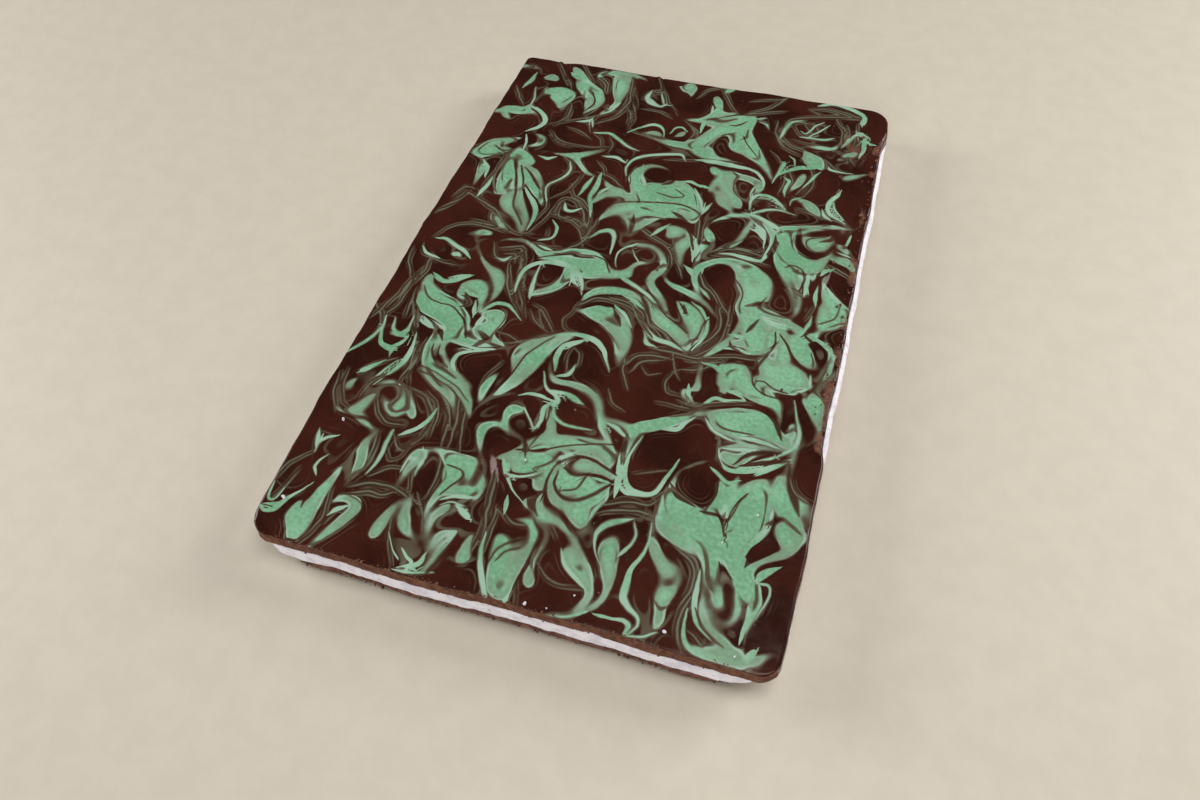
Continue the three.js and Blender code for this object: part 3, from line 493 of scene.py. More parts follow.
    (6,110.3,1, 11,111,1.6, 16,111.5,1.8, 20,113,1.6), (27.5,75,1.8, 27.8,71,1.6),
    (50.5,96,.3, 52.3,94.5,.5, 53,91.5,.4), (55.6,65.5,.3, 56,68,.5, 58,69.5,.6),
    (73.3,72,.4, 73.8,68,.6, 75.8,64.3,.6, 78.5,61.5,.3), (69.5,64.5,.4, 70.5,62,.9, 72.5,60.5,.6),
    (-70.5,-60,.3, -73,-65,.6, -75.3,-70.5,.5, -77,-74.5,.3),
    (-74.5,-53.3,.8, -72.8,-51.5,.9, -71.5,-48.5,.5), (74,-7.2,.6, 78,-6.8,.8, 81,-8,.9, 84,-10.5,1),
    (26.5,-19,1.4, 29.8,-21.8,1.4, 32.3,-24.4,.8), (8.7,122.5,.4, 9.2,119.5,.7, 9.5,117,.6),
    (-11,-95,.5, -8,-94.6,.5, -5,-93,.8, -3,-91.5,1), (3.5,-88,1, 4.5,-85.5,1.2, 6.5,-83.8,.6),
    (15,-75.6,1.2, 18.5,-77.2,1.6, 20.3,-80,1.2),
    (-16.5,-68.6,1.3, -20.3,-68.8,2.2, -21.5,-72,1.5, -20.3,-76,1, -19.2,-78,.5),
    (-9.3,-66,.5, -9,-69.5,.8, -9.2,-72.5,.7, -10,-74.5,.4), (-25.5,-97,1.6, -24.8,-100,1, -24,-102,.4),
    (11.2,-64.5,.8, 12.5,-67.5,1, 15,-71,.6),
]
darkStrokes = [
    (-58,140,.6, -52,131,.8, -44,121,.9, -39.5,111,.7), (-70,136,1.2, -63,124,.9, -55,115,1, -50,103,.6),
    (-49,118,.3, -46,111,.5, -49,104,.4), (18,102,.3, 17.8,98,1, 18.6,93,.9, 23,89.5,1.3, 30,88,.7),
    (20.6,99,.8, 21,95,1.4, 24.8,90.5,1), (20,111,.3, 23,112,.5, 26,115,.3),
    (1,-13,.4, 3,-15.5,1, 5,-19,.5), (27.5,104,.3, 30,99.5,.3, 35,93.5,.25),
    (11,113.2,.25, 15,115.9,.4, 21,119.2,.5, 28,120.8,.4),
    (-67.8,61,.3, -65.2,54.6,.5, -62,46.2,.6, -60.2,41,.5, -59.4,36.7,.5, -57.8,32.5,.5, -54.6,28.3,.5,
     -51.5,24,.4), (-63.6,57.8,.4, -60.7,51.5,.5, -58.3,45.2,.5, -55.7,40,.6, -53,35.7,.6),
    (-53,36,.7, -51,33,1.1, -49.3,29,.4), (-72,67,.3, -72,55,.5, -72,44,.5),
    (-19,43.6,.3, -13.4,47.4,.4, -2,50.3,.45, 10,52.5,.45, 18,50.3,.5, 22,45.5,.4),
    (1,33,1.1, 4,39,1, 9,42.5,1, 15,41,.9, 19,36,.7, 22,29,.5), (0,57,.3, 6,56,.4, 11,58,.3, 7,61,.3),
    (-38,6,.3, -27.7,10.6,.35, -18,12.7,.35, -11,12,.35, -8,8,.35, -7,6.3,.3),
    (62.7,48,1, 63.2,42,1.6, 68,37.2,2, 74,38.7,1.2, 77,44.5,.6),
    (61,28,.3, 63,29.5,.4, 67,28,.4, 69,23,.5, 68,16,.4), (84.5,13,.2, 83.5,6,.3, 79,2,.3),
    (55,-4.5,.6, 53.5,-8,.8),
    (63.3,-8,.35, 63.9,-13,.4, 62.8,-17.5,.5, 60,-20.3,.6, 54,-21.8,.8, 47.5,-23.5,1),
    (62,-20,.6, 59.3,-27.5,.4, 59.4,-32,.35, 61.3,-35.6,.35, 66,-37.8,.35, 72,-37.2,.35, 78,-34.5,.4,
     82,-29.8,.4, 84,-22,.3),
    (65.5,-8.5,.35, 68.5,-12.5,.5, 71,-17,.7, 73.5,-20.3,.9, 77,-22.5,.9, 81,-23.5,.6),
    (74.8,-6.8,.5, 77.5,-8.8,.7, 79.8,-11.5,.9, 80.8,-14,.6), (25,-3,.3, 28,-7,.6, 27,-4.5,.5),
    (37.5,-7.5,.25, 35.9,-11,.3, 35.5,-16.5,.35, 34.3,-21.5,.3), (16,-6,.3, 22,-11,.4, 30,-16,.4),
    (-75.5,-22,.3, -72,-26.3,.35, -66,-28.3,.3, -60,-29,.35, -53,-35,.5, -50,-41,.4),
    (-71,-35.3,.3, -65.5,-38,.5, -60.5,-41.3,.5), (-58,-22,.5, -55,-22,.6, -53.5,-26,.7, -56,-27,.6),
    (-60,-59.5,.2, -53,-61.3,.25, -45,-64.5,.25, -38,-69.5,.2),
    (-59,-62,.25, -51,-64,.3, -44.5,-67,.3, -39.5,-71.5,.25, -36.5,-77,.2),
    (-72,-73.3,.6, -68,-73.7,1.5, -65.5,-74.8,1.7), (-44,-38,.4, -41,-40,.6),
    (44,-48.3,.6, 51,-46,.7, 56,-44,.8, 61,-43.3,.8, 66,-44.3,.9, 70.5,-48,.9, 73.5,-53.5,.7),
    (64,-69.3,.5, 70,-66.3,1, 76.5,-63.8,.6), (61,-69.5,.3, 64.5,-64.8,.8, 69,-62.3,.8, 74,-61,.4),
    (78,-88.5,.6, 78.2,-93,.6, 79.2,-96.5,1.9, 76.3,-100.3,2, 73.3,-104,1.1, 72.4,-106,.3),
    (78,-88,.8, 81,-86,.7, 86,-89,.5),
    (67,-81,.5, 65,-84.5,.35, 63.9,-89,.25, 63.9,-94.5,.2, 65.2,-100,.15),
    (56,-90.5,.6, 60,-90.5,.6, 61.3,-91.5,.6, 63.3,-96.3,.35, 64.2,-99,.2),
    (1.5,-89,.3, 2.6,-86.3,.4, 6,-82.9,.5, 10,-81.2,.6, 15.5,-82,.6, 22,-84.6,.5),
    (8.8,-82.3,.3, 7,-84.2,.5, 6.7,-86.5,.8, 8,-88.3,.8, 10.5,-88.6,.6, 14,-87.6,.5, 18.3,-86.9,.4,
     22,-87.8,.4), (3.8,-90,.4, 4,-94,.5, 7.5,-97.7,.6, 13,-98.5,.7, 18.3,-94.6,.7, 21.5,-90.5,.6),
    (8,-95.5,.3, 12,-94,.4, 14,-88,.4), (0,-117.5,.35, -3.5,-120,.4, -5.8,-123,.4, -6.4,-127,.3),
    (53,98,.5, 55,94.5,1.2, 57,92.5,.6), (65.5,99,.3, 66.5,95,.8, 66.5,91,.5),
    (-78.5,47,.4, -78,43,1, -78.5,39,.5), (-44.5,42,.5, -44.5,36,.9, -45.5,28,.7, -46.5,21,.4),
    (1,63.5,.5, 3,65,1, 4,66.5,.6), (-6.3,40,.4, -5.6,36,1, -5.2,31,.6), (-6,39,.4, -5.3,35,.9, -5,30,.5),
    (10,46.5,.6, 12,45.5,1, 14,44.5,.6), (24,33,.4, 27,33.2,.6, 30.5,32.6,.4),
    (24.5,32,.4, 27,32.3,.7, 30,32,.4), (55.2,40,.3, 54.3,36,.6, 53.3,31,.8),
    (53.5,44,.3, 54,40,.8, 52.5,34,.5), (73,46.5,.6, 75.5,48,1, 76.5,51,.7),
    (74.5,26,.4, 75.5,20,.7, 76.5,12,.5), (52,4,.8, 54,4.9,1, 57.5,6.5,.6),
    (52,4,.6, 54,5.3,.9, 56.5,6.2,.5), (-66,2,.4, -62,-2,.8, -58,-6,.9, -54,-10,.5),
    (-78,-22,.4, -77,-28,.8, -76,-34,.7, -75,-38,.4), (-74,-33,.6, -72,-37,1.2, -71.5,-42,1, -71,-46,.6),
    (-45,-38.5,.5, -42,-41,.8, -38,-42.5,.7, -35,-42.8,.4), (-62.5,-40.5,.7, -60,-42,1.1, -58.5,-44.5,.5),
    (-60,-49,.3, -59.3,-52,.5, -57,-55,.5, -53.5,-57.5,.3),
    (-75,-69.5,.6, -70,-67.6,.6, -64,-67.3,.6, -59,-69.3,.5),
    (7.5,-8.5,.4, 11,-13,.8, 15,-18.5,.7, 18,-21.5,.4), (9.5,-3.5,.5, 12,-7,.8, 14.5,-11.5,.6),
    (-33,-38.5,.9, -27,-35.5,1.2, -22,-32.5,.9, -18,-30.5,.4),
    (-17.5,-33,.3, -21,-38,.35, -24.5,-44,.4, -26,-51,.4, -28,-58,.3),
    (-7.8,-64,.25, -6.9,-69,.35, -7.3,-75,.35, -8.8,-81,.3), (44,-27,.6, 49,-26,.8, 55,-25.4,.5),
    (49.8,-41.5,.6, 52.5,-42.2,.4), (53,-62,.6, 55,-62.5,.8, 58.5,-61.3,.4),
    (53.5,-64,.5, 54,-68,.9, 56.5,-71.5,.5), (79,-66,.5, 80,-71,1, 82,-76,1.4, 84,-80,1),
    (-78,-80,.4, -77,-75,1, -74.5,-70.5,1, -73,-68,.5),
    (-82,-87.5,.4, -76,-88,.7, -70,-87.3,.7, -64,-89,.8, -58,-88,.7),
    (-62.5,-91.5,.5, -62,-94.5,.7, -61.5,-97,.4), (-65,-110,.4, -65,-114,.8, -65.5,-119,.6),
    (-54,-119.5,.5, -54.3,-124,.9, -58,-131,.9, -63,-138,.6), (-75.5,-120,.4, -75,-124,.5, -74.8,-126,.3),
    (-75,-139.5,.8, -71,-138.8,.5), (-11.5,-80,.4, -10.5,-82.5,.9, -9.5,-85.5,.4),
    (2,-82,.3, .9,-85.3,.4, -2,-88.3,.4, -4.2,-89.8,.3),
    (1.5,-98,.4, -1,-101,1.6, -.5,-104,1.4, 1.5,-106,.5),
    (-19.5,-117,.3, -20,-123,.8, -22,-130,.9, -24,-136,.6),
    (3,-110,.4, 6.3,-113.5,.9, 6.3,-120,.9, 5,-128,.7, 4.5,-134,.4),
    (17.5,-110,.4, 21,-113.5,.8, 25,-118.5,.8, 27,-122,.4), (22.5,-70,.6, 23,-74.5,1, 23.5,-78.5,.6),
    (83,-103,.25, 79,-104.3,.35, 76.7,-106.5,.3, 76.3,-109,.2), (64.5,-108,.4, 67.5,-114,.7, 70,-121,.6),
    (61,-125,.25, 63.5,-129.3,.4, 67.5,-132.3,.35, 71,-134,.2), (43,-103,.4, 47,-106.5,.8, 51,-110.5,.6),
    (43,-84,.5, 45.5,-87,1, 50,-88.7,.6), (57,-78,.5, 57.3,-83,.8, 56,-88,.5),
    (-80,68.5,.4, -76,66.5,.6, -72.5,67.5,.4), (-79,62,.3, -75,64,.6, -71.5,67,.4),
    (-57,46,.3, -53.5,42.3,.4, -50,39.3,.5, -46.8,35.5,.5),
    (-61.5,57.5,.3, -58,54.5,.6, -55,50.8,.7, -52,47.5,.6),
    (-33,-97.3,.3, -28.5,-98,.35, -26.8,-100.2,.4, -28.6,-103.8,.4, -31.3,-108.5,.3),
    (-11.5,-94.3,.3, -8,-93.7,.4, -4,-91.5,.3),
    (1.8,-88.5,.4, 1.2,-93.5,.5, 2.5,-98.8,.6, 5.5,-102.2,.6, 9.5,-104.2,.6, 14,-108.8,.5),
    (-12,-84.4,.4, -5,-82.8,.35, 0,-79.9,.35, 6.7,-76.9,.3, 13.3,-74.8,.3, 18.5,-73.5,.3),
    (.5,-120.5,.3, -2.5,-122.5,.35, -4.3,-126,.3), (-57.5,-49,.3, -56.8,-52,.4, -54.5,-55,.4, -51.5,-57,.3),
    (75.5,-2,.9, 74.3,-4.8,.7, 73,-6.6,.3),
    (72,-34.6,.3, 67.5,-34,.35, 63.8,-32,.35, 61,-32.3,.3, 60.8,-34.5,.25),
    (47.8,-17.3,.4, 48.5,-18.8,.5, 51,-19.5,.4),
]
hazeAndSheenStrokes = [
    (-61,140,.8, -57,134,1, -52,127,.8), (-50,131,1.5, -46,127,2, -43,121,1.2),
    (-33,131,1, -31.5,122,1.3, -31,113,1.5, -33,104,1.2, -39,98,.8), (-29,110,.7, -27,106,.9, -26.5,101,.7),
    (-26,108,.6, -24.5,104,.8, -25,99,.6), (-46,99,.6, -44,96,1.2, -42,91,.5),
    (-51,90,.6, -46,88.5,1, -41,85.5,.5), (-59,85,.5, -55,81,1, -49,79,.8, -40,79,.8, -32,81,.5),
    (-58,82,.4, -54,78.5,.7, -48,77,.5), (-38,88,.5, -35,86,.8, -33.5,82,.6),
    (-31,87,.5, -29,84,.7, -29,80,.5), (-86,112,.8, -83,107,1.2, -80,103,.8),
    (-66,128,.5, -63,125,.8, -61,121,.6), (-72,136,.6, -68,130,.9, -64,123,.6),
    (-24,122,1.4, -21,126,1.6, -16,127,1.4, -13,122,1.2), (-20,113,1, -14,112,1.2, -10,110,.8),
    (-56,104,1, -55,98,1.4, -58,92,.8), (11,138,1.4, 14,131,1.2, 17,125,1, 20,121,.6),
    (28,124,.8, 34,128,1.2, 38,133,1, 41,138,.7),
    (44,112,1, 45,121,1.2, 50,125,1, 58,128,1.2, 66,130,1.4, 74,130,1),
    (48,118,.6, 51,113,.9, 55,111,.8, 61,111.5,.8, 66,113.5,.5), (52,122,.5, 55,117,.8, 58,114,.6),
    (57,121,.5, 59,118,.9, 59,115,.7), (50,108,.5, 56,107,.8, 62,108,.7),
    (40,118,.6, 42,108,.9, 46,102,1, 52,99,.8), (66,97,.8, 72,93,1.2, 79,91,.6),
    (70,112,1, 73,116,1.4, 72,121,1), (74,108,1.2, 77,112,1.5, 79,117,1), (68,107,1, 72,104,1.4, 76,101,1),
    (49,89,.5, 52,85,.8, 54,80,.9, 53,75,.6), (60,92,.5, 62,86,1, 61,80,1, 58,74,.6),
    (63,84,.5, 63,78,.7, 60,72,.5), (50,84,.5, 51,79,.9, 50,73,.6), (42,97,.4, 45,94,.7, 47,90,.5),
    (3,105,.6, 5,101,.9, 4,96,.6), (0,108,.5, 6,103,.8, 7,98,.5), (32,118,.8, 35,117,.9, 36.5,114,.5),
    (-46.5,19,.5, -43,27,.7, -40.5,36,.8, -38.5,43,.9, -34,43,1, -30,39,1, -26,33,.9, -23.5,26,.7,
     -22,20,.4), (-43,43,.5, -39,48,.8, -37,54,.9, -35.5,60,.6),
    (-38,51,.6, -35,46,1, -30,43.5,1.2, -26,39,1),
    (-39,32,.8, -34,31,1.1, -29,29.5,1.2, -25,25,1.1, -22.5,19,.6),
    (-33,32.5,.5, -28,31.5,.7, -24,27,.7, -22,21,.4), (-39,38,.6, -38,33,.9, -36,31,.6),
    (-26,16,.8, -23,19,1, -21,23,.8), (-38.5,21,.8, -38,19,.5),
    (-52,8,1, -46,10,1.2, -43,5,1, -41,-4,1, -37,-12,.6),
    (-57,8,.6, -55,3,.9, -51,1,.9, -47,3,.9, -45,7,.7), (-50,5,.5, -47,6,.8, -46,3,.6),
    (-45,9,.6, -43,3,.8, -42,-4,.7),
    (-80,36,.8, -72,32,1.2, -65,28,1.4, -59,22,1.4, -52,17.5,1, -46,18.5,.6),
    (-83,8,.7, -80,13,1, -74,17,1.2, -66,18,1.2, -58,17,.8), (-85,34,.8, -83,39,1, -81,39,.7),
    (-88,22,.8, -84,29,.9, -81,35,.7), (-70,20,.8, -62,19.5,1.1, -55,18.5,.9),
    (-28,63,.6, -23,62,.9, -18,58,.7), (-30,69,.8, -27.5,66.5,.9, -26.5,64,.5), (-35,13.5,.6, -33,13.8,.7),
    (20,47,.8, 21.5,40,1, 22.5,33,.9, 23.5,25,.6), (0,33,1.2, 5,30,1.4, 11,27.5,1, 16,25,.8, 19,20,.6),
    (11,27,.6, 14.5,23,.9, 15.5,17,.8, 14,12,.6), (14,30,.8, 17,24,1.4, 19,18,1.2, 21,13,.7),
    (24,47,.5, 24,40,.8, 25,33,.7), (31,29,.7, 36,32,1.1, 42,32.5,1.2, 48,32,.8),
    (33,27,.8, 40,28.5,1.1, 47,28,1, 52,27,.7), (29,14,.8, 32,9,1.2, 37,5,1.2, 42,-1,.8),
    (62,63,.8, 68,61,1.2, 75,60,1, 82,58.5,.6), (76,33,1.2, 82,31,1.4, 86,29,.8), (75,9,.6, 73.5,4,.7),
    (-14,-14,.4, -14.5,-19,.6, -16.5,-23,.6, -14.5,-27,.6, -11,-28,.5),
    (-29,-19,.5, -26,-20,.8, -23,-24,.9, -20,-28,.7), (-27,-22,.4, -25,-26,.6, -22,-29,.5),
    (-30,-23,.5, -27,-27,.7, -22,-29.5,.5), (-38,-36,.5, -34,-36.5,.7, -30,-38,.5),
    (-89,-4,.7, -88,-10,1, -85,-15,.8, -84,-17,.5), (-83,-20,1, -84,-28,1.2, -87,-35,1.2, -89,-40,.8),
    (-81,-14,.7, -82,-22,1, -82,-32,1, -84,-38,.8), (-80,-8,1, -79,-14,1.2, -81,-20,1),
    (-90,-36,.8, -86,-40,1.2, -84,-45,1, -85,-52,.8, -88,-57,.6), (-66,-52,.8, -65,-60,1, -65,-66,1),
    (-64,-48,.5, -63.5,-56,.8, -64,-63,.9, -62,-67,.6), (-39,-6,.6, -38,-12,.8, -35,-19,.7, -32,-25,.5),
    (-41,-5,.5, -41,-13,.7, -38,-19,.6, -35,-24,.4), (-7,-36,.4, -5,-38,.7, -4.5,-43,.7, -7,-47,.6),
    (-9,-35,.4, -9.5,-40,.6, -8,-45,.5), (-35,-63,.5, -35,-57,.7, -32.5,-51,.6),
    (-58,-22,.4, -56,-23.5,.8, -54.5,-25,.7, -56,-26.5,.5),
    (-13,-14,.6, -9,-10,1, -3,-8.5,1.2, 4,-9.5,1, 10,-13,.8, 16,-19,.6),
    (0,-7,.8, 6,-7.5,1, 12,-11,1, 17,-17,.9, 23,-22,.6),
    (40,-2,.8, 42,-8,1, 41,-15,1, 37,-22,.8, 33,-26,.5),
    (44,-1,.7, 45,-8,.9, 44.5,-15,.9, 41,-22,.8, 36,-27,.5), (13,-37,.6, 15,-33,1, 20,-31,1.2, 25,-31,1),
    (16,-39,.5, 18,-35,.8, 23,-33,.8), (29,-30,.5, 31,-35,.7, 33,-38,.5),
    (30,-38,.4, 29,-42,.7, 31,-46,.8, 35,-46.5,.5), (20,-38,.4, 22,-40,.5, 25,-39,.4),
    (22,-27.5,.8, 28,-27.5,1.2, 35,-28,1.4, 42,-26.5,1.2, 50,-23,1, 57,-22.5,.8),
    (36,-30,.6, 42,-29,.9, 46,-27,.7), (35,-34,.6, 38,-33,.9, 42,-31,.7),
    (37,-49,.5, 42,-49.5,.9, 47,-47,.9, 52,-45,.8, 60,-43,.6), (29,-51.5,.4, 36,-51.5,.7, 43,-50.5,.6),
    (11,-52,.5, 13,-56,.7, 17,-58,.5), (-69,-80,.8, -67,-84,1, -62,-87,.8, -57,-86.5,.5),
    (-62,-95,1, -61,-101,1.4, -62,-107,1), (-88,-72,.6, -87,-79,.9, -83,-85,.8),
    (-86,-70,.6, -85,-76,.8, -82,-82,.7, -79,-84,.6), (-89,-118,.8, -87,-112,1, -83,-107,.8),
    (-86,-125,.6, -84,-120,.8, -83,-114,.5),
    (-58,-71,.6, -53,-73,1, -49,-77,1.1, -47,-83,1, -48,-90,.8, -52,-95,.6),
    (-56,-92,.5, -54,-95,.9, -51,-95.5,.7, -49.5,-91,.5), (-56,-98,.5, -54,-101,.7, -51,-99,.6, -50,-95,.4),
    (-52,-71,.5, -48,-74,.8, -45,-80,.9, -45,-87,.6), (-45,-71,.7, -42,-77,.9, -40,-84,.8, -39,-90,.5),
    (-41,-70,.7, -38.5,-76,.9, -37,-84,.8, -36.5,-90,.4), (-38,-70,.6, -36,-77,.8, -34,-84,.7, -32,-91,.4),
    (-62,-114,.6, -56,-111.5,1, -49,-111,1, -43,-112,1.1, -39,-114,.7),
    (-60,-117,.8, -56,-115,1.4, -51,-115,1.2, -48,-113,.6), (-57,-108,.5, -53,-104,.9, -49,-103,.7),
    (-68,-118,.7, -66.5,-126,.9, -67,-134,.8, -69,-139,.5), (-64,-128,.6, -63,-124,1, -61,-124,.8),
    (-38,-112,.5, -34.5,-117,.8, -32.5,-122,.5), (-43,-117,.4, -43,-124,.6, -41,-130,.6, -37,-136,.6),
    (-17,-97,.8, -15,-104,1.2, -13.5,-112,1, -12.5,-120,.6), (-10,-109,.5, -5,-112,.8, 0,-112,.6),
    (30,-82,.4, 34,-80.5,.5, 38,-79,.4), (24,-100,.8, 28,-98,1, 33,-96.5,1.2, 38,-97,1.2, 43,-99,.8),
    (41,-100,.8, 47,-103,1.2, 52,-106,1.4, 56.5,-110,1.8, 58.3,-117,1.8, 57,-125,1.4, 57,-133,1,
     60,-138,.5), (9,-124,.4, 13,-127.5,.7, 18,-129,.7, 24,-128.5,.5), (8,-109,.5, 10.5,-112.5,.5),
    (5,-133,.4, 6.5,-138,.5), (62,-133,.6, 66,-135.5,.9, 70,-134.5,.7), (27,132,.7, 32,134,1, 38,136,.8),
    (54,131,.6, 57,130,1, 60,129,.6), (50,122,.8, 46,119,1.2, 44,114,1.4, 43,109,1, 45,105,.5),
    (-74,60,.8, -74,52,1, -75,44,1.4, -74,37,.8), (-86,0,.4, -84,-4,.8, -78,-6,.9, -70,-7,.6),
    (-47,-2,.8, -45.5,-7,1.3, -43,-13,1.3, -40,-18,.8, -37.5,-21,.4),
    (-70,-45,.5, -67,-50,.9, -67,-57,1.3, -70,-64,1.2, -75,-70,1, -77,-78,.6),
    (-73,-60,.7, -78,-64,1.3, -81,-68,1.2), (23,-97,.6, 30,-94,.8, 37,-93,.8, 40,-88,.5),
    (-35,107,.6, -42,102,.8, -50,97,.9, -60,91,.6), (-1,80,.7, 4,81.3,.8, 9,82.5,.7),
    (27,121.5,1, 35,125,1.2, 40,127,.8), (-57,-63,1.2, -48,-69,1.4, -44,-74,1, -40,-81,.6),
    (-38,-42.5,.6, -30,-39,.6, -22,-33.5,.5, -14,-30,.4), (11,-33,.8, 12.5,-40,.8, 16,-47,.6),
    (-78,-24,.5, -77.7,-31,.7, -77.3,-36.5,.8), (-77,-30,.6, -74,-36,.8, -71,-41,.8),
    (-25.3,40,.6, -23.8,33,.8, -22.3,24,.6), (-20.3,33,.6, -20.8,27,.7, -21.8,21,.5),
    (37.5,36,.6, 34,32.5,.8, 30.5,28.5,.6), (50,36,.5, 48.5,33.7,.6, 42,33.5,.7, 36,33,.6),
    (-47,69,.7, -43.3,66,1.2, -41.8,61,1.2, -44,55.5,1.1, -48,50,1, -47.7,45,.9, -45.3,39.5,.9, -44,35,.8,
     -46,28,.6), (-43,110,.8, -44,106,.8, -47,102,.6), (1.5,130,.8, 4,135,1.2, 9,138,1.2),
    (-24,96,.6, -20,94.3,.8, -14,92.8,.6), (-27.5,115,.6, -26.5,112.5,1, -25.8,109.5,.6),
    (-38,-94.5,.6, -36.3,-98,.8, -35.2,-104,.8, -35.7,-110,.5),
    (-44.5,-102,.6, -43.3,-107,.8, -42,-111.5,.5), (-13.5,-112,.7, -13,-118,.9, -13.5,-125,.8),
    (-11,-110,.7, -10,-116,.9, -10,-124,.8), (55,133,.8, 62,134,1.6, 69,132.5,1.8, 75,131.5,1),
    (47,119,.8, 50,121.5,1, 56,121,.6), (44,108,1.2, 49,104,1.6, 54,102.5,1.2),
    (67,126,1, 70,120,1.2, 71,113,1.2), (76,124,.8, 77,112,1.2, 75.5,106,.8),
    # The two strokes on the next line are painted sheen: pale lines along the two ridges near the back, drawn
    # as mixed strokes.
    (-33.5,133,.3, -30,126,.5, -26.3,116,.3), (-21.5,138,.4, -17.5,129,.6, -11.5,121,.6, -6,112.5,.4),
]

marbling = {
    "perSpan": 5,  # points of a stroke's curve between two of its drawn points
    "reach": 9,  # how far from a stroke its distance is worked out
    "join": 1.5,  # how softly strokes run together
    "blunt": 1.05,  # ends narrower than this are sharp
    "sharpTip": 4, "sharpWidth": 0.1,  # how far a sharp end runs on, in half-widths, and how wide it stops
    "roundTip": 0.4, "roundWidth": 0.55,  # the same of a broad end, both in half-widths
    "lineReach": 1.6, "matchReach": 2,  # how far past its edge a line counts, and is turned to match
    "wander": 0.22, "wanderSize": 7,  # how far edges stray, and over what length
    "thread": 1.35,  # green strokes that stay narrower than this are threads
    "edgePasses": 2, "flowPasses": 14,  # smoothing of the distance, for edges and for the lines beside them
}


# The point that a stroke's end runs out to: a sharp tip if it is narrow, a rounded one if it is broad.
def strokeTip(end, before):
    way = (end - before)[:2] / (np.hypot(*(end - before)[:2]) + 1e-9)
    isSharp = end[2] < marbling["blunt"]
    length = end[2] * marbling["sharpTip" if isSharp else "roundTip"]
    width = marbling["sharpWidth"] if isSharp else marbling["roundWidth"] * end[2]
    return np.append(end[:2] + length * way, width)


# A smooth curve through a stroke's points and its tips: Catmull-Rom spans, the ends mirrored.
def strokeCurve(stroke):
    p = np.array(stroke, float).reshape(-1, 3)
    p = np.vstack([strokeTip(p[0], p[1]), p, strokeTip(p[-1], p[-2])])
    q = np.vstack([2 * p[0] - p[1], p, 2 * p[-1] - p[-2]])
    a, b, c, d = (q[i:len(q) - 3 + i, None] for i in range(4))
    t = np.linspace(0, 1, marbling["perSpan"], endpoint=False)[None, :, None]
    curve = b + 0.5 * t * (c - a + t * (2 * a - 5 * b + 4 * c - d + t * (3 * b - a - 3 * c + d)))
    return np.vstack([curve.reshape(-1, 3), p[-1:]])


# Which points lie in the box round a curve, widened by a margin.
def nearCurve(x, y, curve, margin):
    low = curve[:, :2].min(0) - margin
    high = curve[:, :2].max(0) + margin
    return np.nonzero((x > low[0]) & (x < high[0]) & (y > low[1]) & (y < high[1]))[0]


# How a curve lies to points: the distance to its line, positive on the left and negative on the right,
# and its half-width at the nearest place, less how far a point lies beyond an end.
def besideCurve(x, y, curve):
    best = np.full(x.shape, 1e9)
    across = np.zeros(x.shape)
    width = np.zeros(x.shape)
    last = len(curve) - 2
    for index, (a, b) in enumerate(zip(curve[:-1], curve[1:])):
        e = b - a
        length = np.hypot(e[0], e[1]) + 1e-9
        t = ((x - a[0]) * e[0] + (y - a[1]) * e[1]) / length ** 2
        past = np.maximum(-t if index == 0 else 0, t - 1 if index == last else 0) * length
        t = np.clip(t, 0, 1)
        gap = np.hypot(x - a[0] - t * e[0], y - a[1] - t * e[1])
        half = a[2] + t * e[2]
        nearer = gap - half < best
        best = np.where(nearer, gap - half, best)
        left = np.where(e[0] * (y - a[1]) - e[1] * (x - a[0]) < 0, -1, 1)
        across = np.where(nearer, left * gap, across)
        width = np.where(nearer, half - np.maximum(past, 0), width)
    return best, across, width


# Strokes seen from points: the signed distance to their union, where the step from one to the next is
# rounded by a join, and for the nearest of them the distance across its line and its half-width. A line
# is turned round if it would meet its neighbours' lines with the other sign.
def besideStrokes(x, y, strokes, join):
    size, reach = marbling["wanderSize"], float(marbling["reach"])
    wx = x + marbling["wander"] * cellNoise(x / size, y / size, 0 * x, 21)
    wy = y + marbling["wander"] * cellNoise(x / size, y / size, 0 * x, 22)
    union, nearest = np.full(x.shape, reach), np.full(x.shape, reach)
    across, width = np.full(x.shape, reach), np.full(x.shape, -1.0)
    for stroke in strokes:
        curve = strokeCurve(stroke)
        near = nearCurve(wx, wy, curve, reach)
        edge, beside, half = besideCurve(wx[near], wy[near], curve)
        h = np.clip(0.5 + 0.5 * (union[near] - edge) / join, 0, 1)
        union[near] += (edge - union[near]) * h - join * h * (1 - h)
        shared = (nearest[near] < marbling["matchReach"]) & (edge < marbling["matchReach"])
        if np.sum((beside * across[near])[shared]) < 0:
            beside = -beside
        wins = edge < nearest[near]
        won = near[wins]
        nearest[won] = edge[wins]
        across[won] = beside[wins]
        width[won] = half[wins]
    width[nearest > marbling["lineReach"]] = -1
    return union, across, width


# A field on a grid, averaged with its neighbours by weights of 1, 2 and 1 both ways, some times over.
def softened(field, passes):
    for _ in range(passes):
        for axis in (0, 1):
            edged = np.pad(field, [(1, 1) if a == axis else (0, 0) for a in (0, 1)], "edge")
            before, after = (np.delete(edged, ends, axis) for ends in ([-1, -2], [0, 1]))
            field = (before + 2 * field + after) / 4
    return field


broadStrokes = [stroke for stroke in mintAndHighlightStrokes if max(stroke[2::3]) >= marbling["thread"]]
threadAndHighlightStrokes = [stroke for stroke in mintAndHighlightStrokes if max(stroke[2::3]) < marbling["thread"]]


print("marbling:", len(mintAndHighlightStrokes), "green strokes,", len(darkStrokes), "dark,", len(hazeAndSheenStrokes), "mixed")

